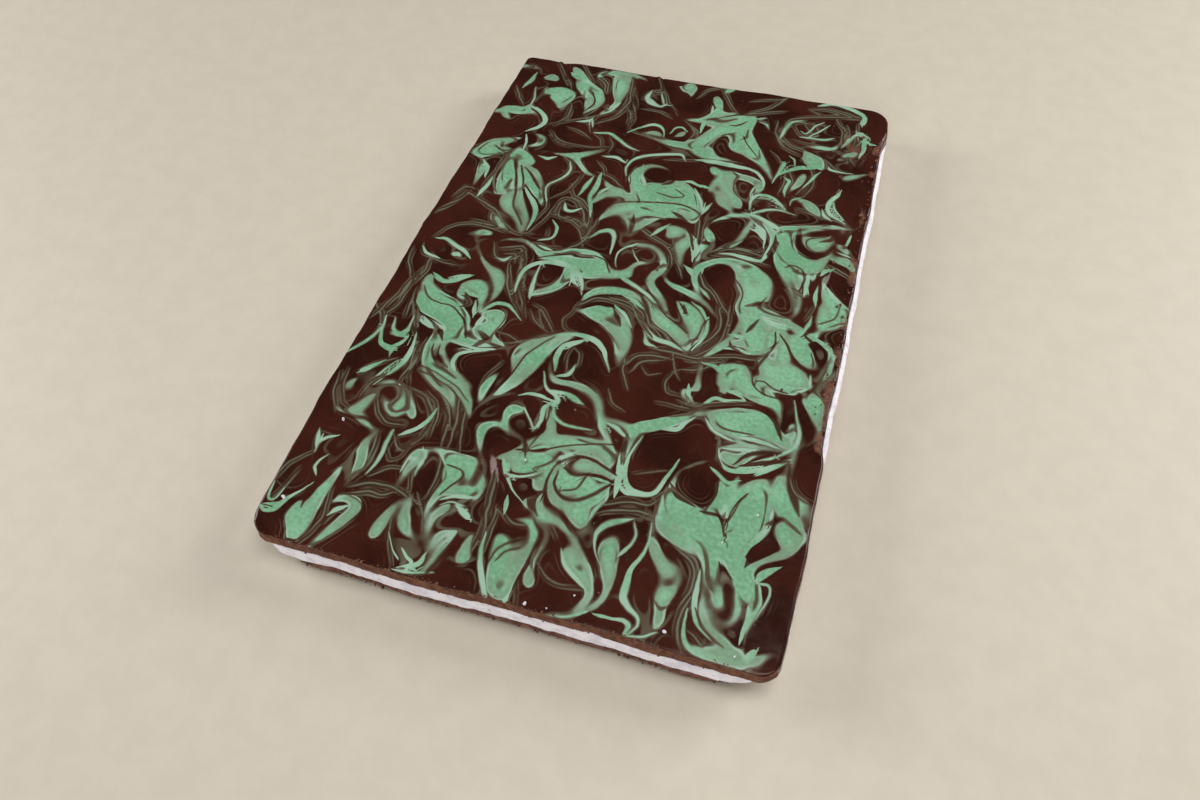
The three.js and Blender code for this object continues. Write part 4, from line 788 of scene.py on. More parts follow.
# Crags of the face, close to those of the solids: place, turn in degrees, length, width, depth, and
# height of the lip
crags = [
    (-20, -94, -60, 8, 3, 1.8, 0.4), (-8, -104, -35, 9, 4, 1.2, 0.5), (-17, 120, 20, 8, 6, 1.8, 0.6),
    (-29, 123, -65, 12, 4, 1, 0.5), (-65, 131, -58, 12, 4, 0.8, 0.4), (72, 110, 25, 11, 5, 1.6, 0.6),
    (77, 96, 15, 9, 4, 1.3, 0.5), (83, 55, 78, 12, 4, 1.4, 0.4), (40, -40, -85, 8, 4, 1, 0.5),
    (-74, 106, 68, 8, 4, 0.8, 0.5),
]

# Ridges that the skewer left standing: height, then x, y and half-width of each point in turn
ridges = [
    (0.3, -29, -78, 0.8, -26, -86, 1, -22, -96, 1, -19, -108, 0.8),
    (0.45, -15.5, -94.5, 0.7, -12.5, -101.5, 0.9, -9.8, -108.5, 0.6),
    (0.5, -17, -97, 0.8, -15.5, -104, 1, -14, -113, 0.9, -13, -121, 0.6),
    (0.8, -33, 134, 0.8, -29, 124, 1, -25, 112, 0.7),
    (0.7, -21, 138, 0.7, -16, 128, 1, -12, 118, 0.9, -6, 112, 0.6),
    (0.6, -71, 138, 0.7, -66, 128, 0.9, -60, 121, 0.7),
    (0.6, -72, 116, 0.6, -74, 106, 0.9, -76, 98, 0.7),
    (0.7, 74, 80, 0.6, 73, 75, 0.8, 71, 69, 0.6),
    (0.7, 79, 79, 0.6, 83, 73, 0.9, 87, 65, 0.7),
    (0.6, 78, 30, 0.5, 77, 24, 0.8, 76, 19, 0.5),
    (0.6, 40, -31, 0.6, 41, -40, 0.9, 39, -48, 0.6),
    (0.5, -80, 38, 0.7, -86, 27, 0.9, -90, 14, 0.6),
    (0.5, 71, 121, 0.7, 73, 113, 0.9, 70, 105, 0.7),
    (0.6, 76, 119, 0.6, 78, 111, 0.9, 76, 102, 0.7),
    (0.6, 82, 118, 0.6, 82, 110, 0.9, 81, 100, 0.7),
]
relief = {
    "undulation": 0.3, "undulationLengths": (23, 31),
    "lipAlong": 0.4, "lipAcross": 1.7,  # where a crag's lip is highest, in its lengths and widths
    "ridgeReach": 6, "leastHalf": 0.2,
    "bellWidth": 1.3, "grooveOff": 2.2, "grooveWidth": 1.2,  # of a ridge, in half-widths
    "grooveDepth": 0.55,  # of a ridge's height, just beside it
    "swellHeight": 0.12, "swellEdge": 0.8,  # how far the green stands over the dark, half its slope's width
    "pitSize": 7, "pitDepth": 0.05,
}


# Height of the topping's face: a gentle undulation, and hollows with a lip on either side of them.
def cragHeight(x, y):
    lengthX, lengthY = relief["undulationLengths"]
    z = slabHeight + relief["undulation"] * wave(x / lengthX, 1.3) * wave(y / lengthY, 0.2)
    for cx, cy, turn, length, width, depth, lip in crags:
        c, s = math.cos(math.radians(turn)), math.sin(math.radians(turn))
        along = ((x - cx) * c + (y - cy) * s) / length
        across = ((y - cy) * c - (x - cx) * s) / width
        z = z - depth * np.exp(-along ** 2 - across ** 2)
        beside = np.abs(across) - relief["lipAcross"]
        z = z + lip * np.exp(-(along - relief["lipAlong"]) ** 2 - beside ** 2)
    return z


# Added relief: each ridge is a bell across its stroke with a groove on its left, and the green swells.
def fineRelief(x, y, mint):
    z = -relief["swellHeight"] * smooth(-relief["swellEdge"], relief["swellEdge"], mint)
    z = z + relief["pitDepth"] * lumps(x, y, 0 * x, relief["pitSize"], 31)
    for height, *stroke in ridges:
        curve = strokeCurve(stroke)
        near = nearCurve(x, y, curve, relief["ridgeReach"])
        _, across, half = besideCurve(x[near], y[near], curve)
        half = np.maximum(half, relief["leastHalf"])
        bell = np.exp(-(across / (relief["bellWidth"] * half)) ** 2)
        groove = np.exp(-((across - relief["grooveOff"] * half) / (relief["grooveWidth"] * half)) ** 2)
        z[near] += height * (bell - relief["grooveDepth"] * groove)
    return z


# A mesh from stacked closed loops: quads between each pair, and flat lids on the first and the last.
def stackedMesh(name, loops, firstLid=True, lastLid=True, extraPoints=None, extraFaces=()):
    count = len(loops[0])
    points = np.vstack(loops + ([extraPoints] if extraPoints is not None else []))
    i = np.arange(count)
    j = (i + 1) % count
    quads = [np.stack([k * count + i, k * count + j, (k + 1) * count + j, (k + 1) * count + i], 1)
             for k in range(len(loops) - 1)]
    faces = np.vstack(quads).tolist() + list(extraFaces)
    if firstLid:
        faces.append(i[::-1].tolist())
    if lastLid:
        faces.append((i + (len(loops) - 1) * count).tolist())
    piece = newPiece(name, points, faces)
    piece.data.polygons.foreach_set("use_smooth", np.ones(len(piece.data.polygons), bool))
    piece.data.update()
    return piece


# Puts an array of numbers or vectors on a mesh's points under a name.
def paint(piece, name, values):
    isVector = values.ndim == 2
    attribute = piece.data.attributes.new(name, "FLOAT_VECTOR" if isVector else "FLOAT", "POINT")
    attribute.data.foreach_set("vector" if isVector else "value", values.astype(np.float32).ravel())


# A loop of the side: the plan at an inset, moved out along its normal by a push, at a height.
def sideLoop(inset, corners, height, push=None, phase=0.0, recess=0.0, rough=1.0):
    x, y = plan(borderU, borderV, inset, corners, rough, phase, recess)
    z = height(x, y) if callable(height) else np.full(x.shape, float(height))
    if push is not None:
        nx, ny = outward(x, y)
        out = push(x, y, z)
        x, y = x + nx * out, y + ny * out
    return np.stack([x, y, z], 1)


biscuit = {
    "heights": (0, 0.25, 0.6, 1.0, 1.5, 2.0, 2.5, 3.0, 3.4),  # of the loops over the floor
    "toSeam": (0.75, 0.95, 1.0),  # shares of the way from the last of them to the seam
    "inset": 0.1, "footInset": 1.0, "footRise": 1.1, "creaseInset": 1.2, "sink": 0.3,
    "lumpSize": 2.2, "lumpHeight": 0.34, "grainSize": 0.9, "grainHeight": 0.16,
}


# The base: loops that come out from the foot and draw in under the filling, pushed about by crumbs.
def biscuitBase():
    def crumble(x, y, z):
        return (biscuit["lumpHeight"] * lumps(x, y, z, biscuit["lumpSize"], 41)
                + biscuit["grainHeight"] * lumps(x, y, z, biscuit["grainSize"], 43) - biscuit["sink"])
    corners = slab["baseCorners"]
    loops = []
    for z in biscuit["heights"]:
        inset = biscuit["footInset"] * (1 - smooth(0, biscuit["footRise"], z)) + biscuit["inset"]
        loops.append(sideLoop(inset, corners, z, crumble, phase=0.5))
    last = biscuit["heights"][-1]
    for share in biscuit["toSeam"]:
        inset = biscuit["inset"] + biscuit["creaseInset"] * share ** 3
        def height(x, y):
            return last + share * (baseSeam(x, y) - last)
        loops.append(sideLoop(inset, corners, height, crumble, phase=1.1))
    loops.append(sideLoop(slab["seamMargin"], corners, slab["base"] - slab["lidGap"], rough=0))
    return stackedMesh("biscuit_base_crumbly", loops)


filling = {
    "shares": (0, 0.03, 0.09, 0.18, 0.3, 0.42, 0.54, 0.66, 0.77, 0.86, 0.93, 0.98, 1),
    "lowerCrease": 1.0, "lowerShare": 0.16, "upperCrease": 0.5, "upperShare": 0.9, "sink": 0.12,
    "lumpSize": 3.4, "lumpHeight": 0.22, "grainSize": 1.1, "grainHeight": 0.1,
    "crackWidth": 0.05, "crackDepth": 0.7, "crackSize": 7, "crackTall": 30, "rareSize": 16, "rareTall": 9,
}


# The filling: loops from seam to seam that swell out between them, with soft lumps and a few cracks.
def whiteFilling():
    corners = slab["fillingCorners"]
    def soften(x, y, z):
        size, tall = filling["crackSize"], filling["crackTall"]
        crack = 1 - smooth(0, filling["crackWidth"], np.abs(cellNoise(x / size, y / size, z / tall, 53)))
        size, tall = filling["rareSize"], filling["rareTall"]
        rare = smooth(0.1, 0.4, cellNoise(x / size, y / size, z / tall, 54))
        return (filling["lumpHeight"] * lumps(x, y, z, filling["lumpSize"], 51)
                + filling["grainHeight"] * lumps(x, y, z, filling["grainSize"], 52)
                - filling["crackDepth"] * crack * rare - filling["sink"])
    loops = [sideLoop(slab["seamMargin"], corners, slab["base"] + slab["lidGap"], rough=0)]
    for share in filling["shares"]:
        inset = (filling["lowerCrease"] * (1 - smooth(0, filling["lowerShare"], share))
                 + filling["upperCrease"] * smooth(filling["upperShare"], 1, share))
        def height(x, y):
            return baseSeam(x, y) + share * (fillingSeam(x, y) - baseSeam(x, y))
        loops.append(sideLoop(inset, corners, height, soften, phase=1.8, recess=share ** 8))
    loops.append(sideLoop(slab["seamMargin"], corners, fillingTop - slab["lidGap"], rough=0))
    return stackedMesh("mint_filling_white", loops)


topping = {
    "wallShares": (0, 0.06, 0.16, 0.3, 0.45, 0.6, 0.75, 0.9, 1),  # of the way up the side to its round
    "roundSteps": 3,
    "frontRound": 0.5, "sideRound": 1.3,  # radius of the upper edge, at the cut front and elsewhere
    "lean": 0.4, "crease": 0.35, "creaseShare": 0.12, "sink": 0.1,
    "cutLump": 0.2, "lumpSize": 1.9, "cutGrain": 0.14, "grainSize": 0.9,
    "uncutShare": 0.25,  # how rough the sides that aren't cut are, to the cut one
    "flakeDepth": 0.7, "flakeSize": 5.5, "wornDepth": 0.42, "streakSize": 3.2, "streakLength": 3,
    "wornCorner": (77, 112, 9, 14),  # x and y of its middle, and its half-lengths
    "bleed": 0.9,  # how fast the green on the face gives out down a side
}
toppingEdge = {"phase": 2.9, "recess": 1.0}  # of the topping's plan


# How much of a point's side is cut: 1 where the plan's normal points to the front.
def cutShare(v):
    return 1 - smooth(-0.995, -0.975, v)


# The topping: a side from the filling's seam to its upper round, and a face on a fine grid.
def marbledTopping():
    corners = slab["toppingCorners"]
    acrossSteps = np.linspace(-1, 1, slab["columns"] + 1)
    alongSteps = np.linspace(-1, 1, slab["rows"] + 1)
    gridU, gridV = (g.ravel() for g in np.meshgrid(acrossSteps, alongSteps))
    def roundOf(v):
        return topping["frontRound"] + (topping["sideRound"] - topping["frontRound"]) * (1 - cutShare(v))
    faceX, faceY = plan(gridU, gridV, topping["lean"] + roundOf(gridV), corners, **toppingEdge)
    gridShape = (slab["rows"] + 1, slab["columns"] + 1)
    def faceField(strokes, passes):
        edge, _, _ = besideStrokes(faceX - slab["planShift"], faceY, strokes, marbling["join"])
        return softened(edge.reshape(gridShape), passes).ravel()
    faceMint = faceField(broadStrokes, marbling["edgePasses"])
    faceFlow = faceField(mintAndHighlightStrokes, marbling["flowPasses"])
    flaky = rightFlakes(gridU, faceX, faceY)
    faceZ = np.minimum(cragHeight(faceX, faceY) + fineRelief(faceX, faceY, faceMint), cadTop) - flaky
    gridIndex = np.arange(len(gridU)).reshape(gridShape)
    border = np.concatenate([gridIndex[0, :-1], gridIndex[:-1, -1],
                             gridIndex[-1, :0:-1], gridIndex[:0:-1, 0]])
    rimZ = faceZ[border]
    rimRound = roundOf(borderV)
    cut = cutShare(borderV)
    def crumble(x, y, z):
        rough = (topping["cutLump"] * lumps(x, y, z, topping["lumpSize"], 61)
                 + topping["cutGrain"] * lumps(x, y, 2 * z, topping["grainSize"], 62))
        return rough * (topping["uncutShare"] + (1 - topping["uncutShare"]) * cut) - topping["sink"]
    loops = [sideLoop(slab["seamMargin"], corners, fillingTop + slab["lidGap"], rough=0)]
    for share in topping["wallShares"]:
        inset = topping["lean"] * share + topping["crease"] * (1 - smooth(0, topping["creaseShare"], share))
        def height(x, y):
            return fillingSeam(x, y) + share * (rimZ - rimRound - fillingSeam(x, y))
        loops.append(sideLoop(inset, corners, height, crumble, **toppingEdge))
    for step in range(1, topping["roundSteps"] + 1):
        turn = math.pi / 2 * step / (topping["roundSteps"] + 1)
        inset = topping["lean"] + rimRound * (1 - math.cos(turn))
        def height(x, y):
            return rimZ - rimRound * (1 - math.sin(turn))
        def fade(x, y, z):
            return crumble(x, y, z) * math.cos(turn)
        loops.append(sideLoop(inset, corners, height, fade, **toppingEdge))
    count = len(loops) * len(borderU)
    lastLoop = count - len(borderU)
    i = np.arange(len(borderU))
    j = np.roll(i, -1)
    rimQuads = np.stack([lastLoop + i, lastLoop + j, count + border[j], count + border[i]], 1)
    faceQuads = np.stack([gridIndex[:-1, :-1], gridIndex[:-1, 1:], gridIndex[1:, 1:], gridIndex[1:, :-1]], -1)
    faceQuads = count + faceQuads.reshape(-1, 4)
    facePoints = np.stack([faceX, faceY, faceZ], 1)
    extra = np.vstack([rimQuads, faceQuads]).tolist()
    piece = stackedMesh("chocolate_topping_marbled", loops, lastLid=False,
                        extraPoints=facePoints, extraFaces=extra)
    side = np.vstack(loops)
    drop = np.maximum(np.tile(rimZ, len(loops)) - side[:, 2], 0)
    x = np.concatenate([side[:, 0], faceX]) - slab["planShift"]
    y = np.concatenate([side[:, 1], faceY])
    down = np.concatenate([drop, np.zeros(len(faceX))])
    sideMint, _, _ = besideStrokes(x[:count], y[:count], broadStrokes, marbling["join"])
    paint(piece, "mint", np.concatenate([sideMint, faceMint]) + topping["bleed"] * down)
    paint(piece, "flow", np.concatenate([sideMint, faceFlow]))
    for name, strokes in (("thread", threadAndHighlightStrokes), ("vein", darkStrokes), ("haze", hazeAndSheenStrokes)):
        edge, lane, width = besideStrokes(x, y, strokes, marbling["join"] / 3)
        faded = topping["bleed"] * down
        paint(piece, name, np.stack([lane, width - faded, edge + faded], 1))
    raggedDrop = drop + 0.25 * lumps(x[:count], y[:count], drop, 1.6, 65)
    sideCut = np.tile(cut, len(loops)) * smooth(0.15, 0.6, raggedDrop)
    paint(piece, "cut", np.concatenate([sideCut, smooth(0.15, 0.5, flaky)]))
    return piece


# Flakes broken off the right edge: sharp-sided dips where noise passes a level, close to that edge, and
# shallow streaks of them, drawn out along the slab, in a bell round the worn back corner.
def rightFlakes(u, x, y):
    nearEdge = smooth(0.955, 0.995, u) * brokenBack(y)
    ragged = smooth(0.05, 0.2, lumps(x, y, 0 * x, topping["flakeSize"], 71))
    wornX, wornY, halfX, halfY = topping["wornCorner"]
    nearCorner = np.exp(-((x - wornX) / halfX) ** 2 - ((y - wornY) / halfY) ** 2)
    drawn = lumps(x, y / topping["streakLength"], 0 * x, topping["streakSize"], 73)
    streaks = smooth(-0.1, 0.25, drawn)
    return topping["flakeDepth"] * nearEdge * ragged + topping["wornDepth"] * nearCorner * streaks


# Materials

# The linear colour that shows as an sRGB one of 0 to 255.
def shown(r, g, b):
    c = np.array([r, g, b]) / 255
    return (*np.where(c < 0.04045, c / 12.92, ((c + 0.055) / 1.055) ** 2.4).tolist(), 1)


# Sets a node's input from a number, a colour or another node's output.
def feed(socket, value):
    if isinstance(value, bpy.types.NodeSocket):
        socket.id_data.links.new(value, socket)
    elif value is not None:
        socket.default_value = value


# One step of arithmetic on numbers and outputs, in the outputs' own tree.
def calc(operation, a, b=None, clamp=False):
    tree = next(item for item in (a, b) if isinstance(item, bpy.types.NodeSocket)).id_data
    node = tree.nodes.new("ShaderNodeMath")
    node.operation = operation
    node.use_clamp = clamp
    feed(node.inputs[0], a)
    feed(node.inputs[1], b)
    return node.outputs[0]


def plus(a, b):
    return calc("ADD", a, b)


def minus(a, b, clamp=False):
    return calc("SUBTRACT", a, b, clamp)


def times(a, b):
    return calc("MULTIPLY", a, b)


# A smooth step of an output between two values, to two results.
def step(value, low, high, toLow=0.0, toHigh=1.0):
    node = value.id_data.nodes.new("ShaderNodeMapRange")
    node.interpolation_type = "SMOOTHSTEP"
    for index, item in enumerate((value, low, high, toLow, toHigh)):
        feed(node.inputs[index], item)
    return node.outputs[0]


# Two colours mixed by an output.
def blend(factor, a, b):
    node = factor.id_data.nodes.new("ShaderNodeMix")
    node.data_type = "RGBA"
    feed(node.inputs[0], factor)
    feed(node.inputs[6], a)
    feed(node.inputs[7], b)
    return node.outputs[2]


# Noise of so many cells to a metre.
def noise(vector, scale, detail=2.0, roughness=0.5):
    node = vector.id_data.nodes.new("ShaderNodeTexNoise")
    for name, value in (("Vector", vector), ("Scale", scale), ("Detail", detail), ("Roughness", roughness)):
        feed(node.inputs[name], value)
    return node.outputs[0]


# A number or vector that was painted on the points.
def attribute(tree, name, output="Fac"):
    node = tree.nodes.new("ShaderNodeAttribute")
    node.attribute_name = name
    return node.outputs[output]


def objectPoint(tree):
    return tree.nodes.new("ShaderNodeTexCoord").outputs["Object"]


# A normal bent by a height, whose distance is in metres.
def bump(height, strength, distance):
    node = height.id_data.nodes.new("ShaderNodeBump")
    node.inputs["Strength"].default_value = strength
    node.inputs["Distance"].default_value = distance
    feed(node.inputs["Height"], height)
    return node.outputs[0]


# An empty material: its tree, and the shader whose sockets are then set.
def newMaterial(name):
    material = bpy.data.materials.new(name)
    material.use_nodes = True
    return material, material.node_tree, material.node_tree.nodes["Principled BSDF"]


# Crumb grain, shared by the cut topping, the base and the crumbs: a light and dark mottle, and a height.
def crumbGrainGroup():
    tree = bpy.data.node_groups.new("crumbGrain", "ShaderNodeTree")
    tree.interface.new_socket("Size", in_out="INPUT", socket_type="NodeSocketFloat")
    tree.interface.new_socket("Mottle", in_out="OUTPUT", socket_type="NodeSocketFloat")
    tree.interface.new_socket("Height", in_out="OUTPUT", socket_type="NodeSocketFloat")
    start = tree.nodes.new("NodeGroupInput")
    end = tree.nodes.new("NodeGroupOutput")
    place = objectPoint(tree)
    scale = calc("DIVIDE", 1.0, start.outputs[0])
    coarse = tree.nodes.new("ShaderNodeTexNoise")
    coarse.inputs["Detail"].default_value = 4
    coarse.inputs["Roughness"].default_value = 0.62
    cells = tree.nodes.new("ShaderNodeTexVoronoi")
    cells.inputs["Randomness"].default_value = 1
    for node, factor in ((coarse, 0.6), (cells, 1.5)):
        feed(node.inputs["Vector"], place)
        feed(node.inputs["Scale"], times(scale, factor))
    mottle = step(coarse.outputs[0], 0.32, 0.68)
    feed(end.inputs["Mottle"], mottle)
    lump = minus(1.0, cells.outputs["Distance"])
    swell = times(coarse.outputs[0], 1.4)
    feed(end.inputs["Height"], plus(lump, swell))
    return tree


crumbGrain = crumbGrainGroup()


# Crumb grain of a size in metres: its mottle and its height.
def grain(tree, size):
    node = tree.nodes.new("ShaderNodeGroup")
    node.node_tree = crumbGrain
    node.inputs["Size"].default_value = size
    return node.outputs["Mottle"], node.outputs["Height"]


marbleLook = {
    "dark": shown(62, 29, 21), "darkest": shown(45, 20, 14),
    "mixed": shown(86, 76, 61), "paleMixed": shown(118, 130, 110),
    # The pale edge colour on the next line is partly the mint's own paler edge and partly a painted
    # highlight.
    "green": shown(106, 157, 121), "paleGreen": shown(134, 184, 150), "rim": shown(170, 208, 186),
    "cutDark": shown(88, 54, 41), "cutLight": shown(126, 86, 68),
    "edge": 0.38, "softEdge": 1.3, "lineEdge": 0.22, "softLine": 0.7,  # softness of edges and lines, mm
    "swell": 0.0,  # how far the green is widened, mm
    "stray": 0.1, "strayScale": 260,  # how far edges stray, mm; scales are cells to a metre
    "slowScale": 38, "driftTurns": 22, "patchScale": 75, "blurScale": 55, "thinScale": 48,
    "cloudScale": 45, "speckScale": 700, "glossScale": 220, "rippleScale": 160,
    "veinShow": 0.8,  # dark lines through the green
    "hazeLine": 0.75, "hazeGround": 0.22, "hazePitch": 1.5, "hazeWeave": 10, "weaveScale": 110,
    "echoPitch": 1.2, "echoReach": 1.5, "echoShow": 0.7,  # faint lines beside the green
    "innerPitch": 1.8, "innerShow": 0.6,  # dark lines inside it
    "thinEdge": 0.4, "thinReach": 3.2, "thinShow": 0.85,  # how deep and how far chocolate thins the green
    "swirlTurns": 110, "swirlShow": 0.06, "rimShow": 0.6, "smearShow": 0.75,
    "sheen": (1, 0.82, 0.77, 1), "shine": 0.2, "darkGloss": 0.2, "greenGloss": 0.36, "cutGloss": 0.8,
    "grainSize": 0.0016, "ripple": 0.5, "crumbHeight": 1.5, "greenHeight": 0.25,
    "bumpStrength": 0.5, "bumpDepth": 0.0004,
}


# How a line lies to a point: the distance across it, its half-width and the distance to its edge.
def lineParts(tree, name):
    node = tree.nodes.new("ShaderNodeSeparateXYZ")
    feed(node.inputs[0], attribute(tree, name, "Vector"))
    return node.outputs


# How far a line covers a point: its half-width less the distance across it, as a soft step.
def lineCover(tree, name, shift, soft):
    across, half, _ = lineParts(tree, name)
    inside = minus(half, calc("ABSOLUTE", plus(across, shift)))
    return step(calc("DIVIDE", inside, soft), -1.0, 1.0)


# Fine lines: where the cosine of a distance in turns, shifted by a noise, comes near its crest.
def fineLines(distance, pitch, drift, low):
    turns = plus(times(distance, 2 * math.pi / pitch), drift)
    return step(calc("COSINE", turns), low, 1.0)


# Marbling: the green's distance cut at zero and its threads, dark lines drawn back through it, mixed strokes
# made of fine lines, thin layers inside the green, a pale band inside its edge that is partly painted
# highlight, and faint lines and swirls beside it. One thread is a painted highlight, and two mixed strokes
# are painted sheen.
def marbleMaterial():
    material, tree, shader = newMaterial("marbled chocolate")
    look = marbleLook
    mint = attribute(tree, "mint")
    cut = attribute(tree, "cut")
    place = objectPoint(tree)
    shift = step(noise(place, look["strayScale"], 1), 0.25, 0.75, -look["stray"], look["stray"])
    slow = noise(place, look["slowScale"], 1, 0.4)
    drift = times(slow, look["driftTurns"])
    patchy = noise(place, look["patchScale"], 1)
    blurry = noise(place, look["blurScale"], 1)
    soft = step(blurry, 0.42, 0.66, look["edge"], look["softEdge"])
    softLine = step(blurry, 0.4, 0.62, look["lineEdge"], look["softLine"])
    depth = minus(look["swell"], plus(mint, shift))
    solid = step(calc("DIVIDE", depth, soft), -1.0, 1.0)
    flow = attribute(tree, "flow")
    inner = fineLines(flow, look["innerPitch"], drift, 0.45)
    inner = times(inner, step(patchy, 0.46, 0.6, 0, look["innerShow"]))
    inner = times(inner, step(mint, -3.2, -1.6))
    solid = minus(solid, inner, clamp=True)
    thread = lineCover(tree, "thread", shift, softLine)
    vein = times(lineCover(tree, "vein", shift, softLine), look["veinShow"])
    solid = calc("MAXIMUM", solid, thread)
    solid = times(solid, minus(1.0, vein))
    hazeLane, _, hazeEdge = lineParts(tree, "haze")
    weave = times(noise(place, look["weaveScale"], 1), look["hazeWeave"])
    weave = plus(drift, weave)
    hazeLines = fineLines(hazeLane, look["hazePitch"], weave, -0.4)
    hazeLines = step(hazeLines, 0, 1, look["hazeGround"], look["hazeLine"])
    hazy = times(hazeLines, step(hazeEdge, 1.1, -0.7))
    outside = calc("MAXIMUM", flow, 0.0)
    fading = calc("EXPONENT", calc("DIVIDE", outside, -look["echoReach"]))
    echo = times(fineLines(flow, look["echoPitch"], drift, 0.1), fading)
    echo = times(echo, step(patchy, 0.42, 0.62, 0, look["echoShow"]))
    swirl = fineLines(slow, 1, times(slow, look["swirlTurns"]), 0.3)
    swirl = times(swirl, step(patchy, 0.56, 0.44, 0, look["swirlShow"]))
    faint = calc("MAXIMUM", hazy, calc("MAXIMUM", echo, swirl))
    cloudy = noise(place, look["cloudScale"], 2)
    speck = noise(place, look["speckScale"], 2)
    dark = blend(step(cloudy, 0.35, 0.65), look["darkest"], look["dark"])
    tone = plus(times(cloudy, 0.5), times(speck, 0.5))
    green = blend(step(tone, 0.36, 0.64), look["green"], look["paleGreen"])
    thinNoise = noise(place, look["thinScale"], 1)
    thinDepth = step(thinNoise, 0.36, 0.64, look["thinEdge"], look["thinReach"])
    thin = step(calc("DIVIDE", mint, thinDepth), -1.0, 0.1, 0, look["thinShow"])
    thin = times(thin, minus(1.0, thread))
    threadThin = times(thread, step(patchy, 0.4, 0.6, 0.05, 0.6))
    green = blend(plus(thin, threadThin), green, look["paleMixed"])
    # A pale band just inside the green's edge, in patches: partly the mint's paler edge, partly a painted
    # highlight.
    rim = step(mint, -0.95, -0.3, 0, look["rimShow"])
    rim = times(rim, step(patchy, 0.35, 0.6))
    green = blend(rim, green, look["rim"])
    low = blend(step(faint, 0.0, 0.5), dark, look["mixed"])
    low = blend(step(faint, 0.45, 1.0), low, look["paleMixed"])
    low = blend(step(solid, 0.0, 0.5), low, look["mixed"])
    marbled = blend(step(solid, 0.4, 1.0), low, green)
    mottle, height = grain(tree, look["grainSize"])
    crumbly = blend(mottle, look["cutDark"], look["cutLight"])
    crumbled = times(cut, step(solid, 0.3, 1.0, 1, 1 - look["smearShow"]))
    feed(shader.inputs["Base Color"], blend(crumbled, marbled, crumbly))
    gloss = step(solid, 0.0, 1.0, look["darkGloss"], look["greenGloss"])
    smudge = step(noise(place, look["glossScale"], 3), 0.3, 0.7, -0.05, 0.07)
    uneven = plus(gloss, smudge)
    roughCut = times(cut, look["cutGloss"])
    feed(shader.inputs["Roughness"], calc("MAXIMUM", uneven, roughCut))
    ripple = times(noise(place, look["rippleScale"], 2), look["ripple"])
    crumbHeight = times(times(height, cut), look["crumbHeight"])
    greenHeight = times(solid, look["greenHeight"])
    raised = plus(plus(ripple, crumbHeight), greenHeight)
    feed(shader.inputs["Normal"], bump(raised, look["bumpStrength"], look["bumpDepth"]))
    shader.inputs["Specular IOR Level"].default_value = look["shine"]
    shader.inputs["Specular Tint"].default_value = look["sheen"]
    return material


fillingLook = {
    "white": shown(249, 246, 253), "shade": shown(226, 221, 233), "smear": shown(150, 112, 98),
    "gloss": 0.75, "glow": 0.15, "glowRadius": (0.0012, 0.001, 0.001),  # light that soaks in, metres
    "shadeScale": 260, "smearScale": 420, "smearShow": 0.6, "grainScale": 900,
    "bumpStrength": 0.45, "bumpDepth": 0.0004,
}


# Chalky white, a little greyer in its hollows, with thin brown smears here and there.
def fillingMaterial():
    material, tree, shader = newMaterial("white mint filling")
    look = fillingLook
    place = objectPoint(tree)
    soft = noise(place, look["shadeScale"], 3, 0.6)
    colour = blend(step(soft, 0.3, 0.62), look["shade"], look["white"])
    smeared = step(noise(place, look["smearScale"], 3, 0.65), 0.64, 0.72, 0, look["smearShow"])
    feed(shader.inputs["Base Color"], blend(smeared, colour, look["smear"]))
    shader.inputs["Roughness"].default_value = look["gloss"]
    shader.inputs["Subsurface Weight"].default_value = look["glow"]
    shader.inputs["Subsurface Radius"].default_value = look["glowRadius"]
    shader.inputs["Subsurface Scale"].default_value = 1
    chalk = noise(place, look["grainScale"], 4, 0.6)
    feed(shader.inputs["Normal"], bump(chalk, look["bumpStrength"], look["bumpDepth"]))
    return material


biscuitLook = {
    "dark": shown(84, 48, 38), "light": shown(140, 98, 82), "pale": shown(190, 170, 168),
    "gloss": 0.9, "grainSize": 0.0015, "sugarScale": 1100, "sugarShow": 0.8,
    "bumpStrength": 0.7, "bumpDepth": 0.0006,
}


# Brown crumb: a mottle of two browns, with pale sugar specks.
def biscuitMaterial():
    material, tree, shader = newMaterial("biscuit base")
    look = biscuitLook
    mottle, height = grain(tree, look["grainSize"])
    colour = blend(mottle, look["dark"], look["light"])
    sugar = noise(objectPoint(tree), look["sugarScale"], 2)
    speck = step(sugar, 0.68, 0.74, 0, look["sugarShow"])
    feed(shader.inputs["Base Color"], blend(speck, colour, look["pale"]))
    shader.inputs["Roughness"].default_value = look["gloss"]
    feed(shader.inputs["Normal"], bump(height, look["bumpStrength"], look["bumpDepth"]))
    return material


crumbLook = {
    "chocolate": (shown(70, 40, 29), shown(128, 84, 62)),
    "white": (shown(205, 205, 208), shown(232, 230, 236)),
    "gloss": 0.7, "grainSize": 0.0009, "bumpStrength": 0.4, "bumpDepth": 0.0002,
}


# A crumb's two tones, mottled by the shared grain.
def crumbMaterial(kind):
    material, tree, shader = newMaterial(kind + " crumb")
    look = crumbLook
    mottle, height = grain(tree, look["grainSize"])
    feed(shader.inputs["Base Color"], blend(mottle, *look[kind]))
    shader.inputs["Roughness"].default_value = look["gloss"]
    feed(shader.inputs["Normal"], bump(height, look["bumpStrength"], look["bumpDepth"]))
    return material


# Pieces
pieces = {
    "chocolate_base": (biscuitBase(), biscuitMaterial(), "biscuit_base"),
    "mint_filling": (whiteFilling(), fillingMaterial(), "white_filling"),
    "chocolate_top": (marbledTopping(), marbleMaterial(), "marbled_topping"),
}
for node, (piece, material, slotName) in pieces.items():
    piece.data.materials.append(material)
    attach(piece, "root")
    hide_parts(node)
    print(piece.name, "stands for", node, "with", len(piece.data.polygons), "faces")


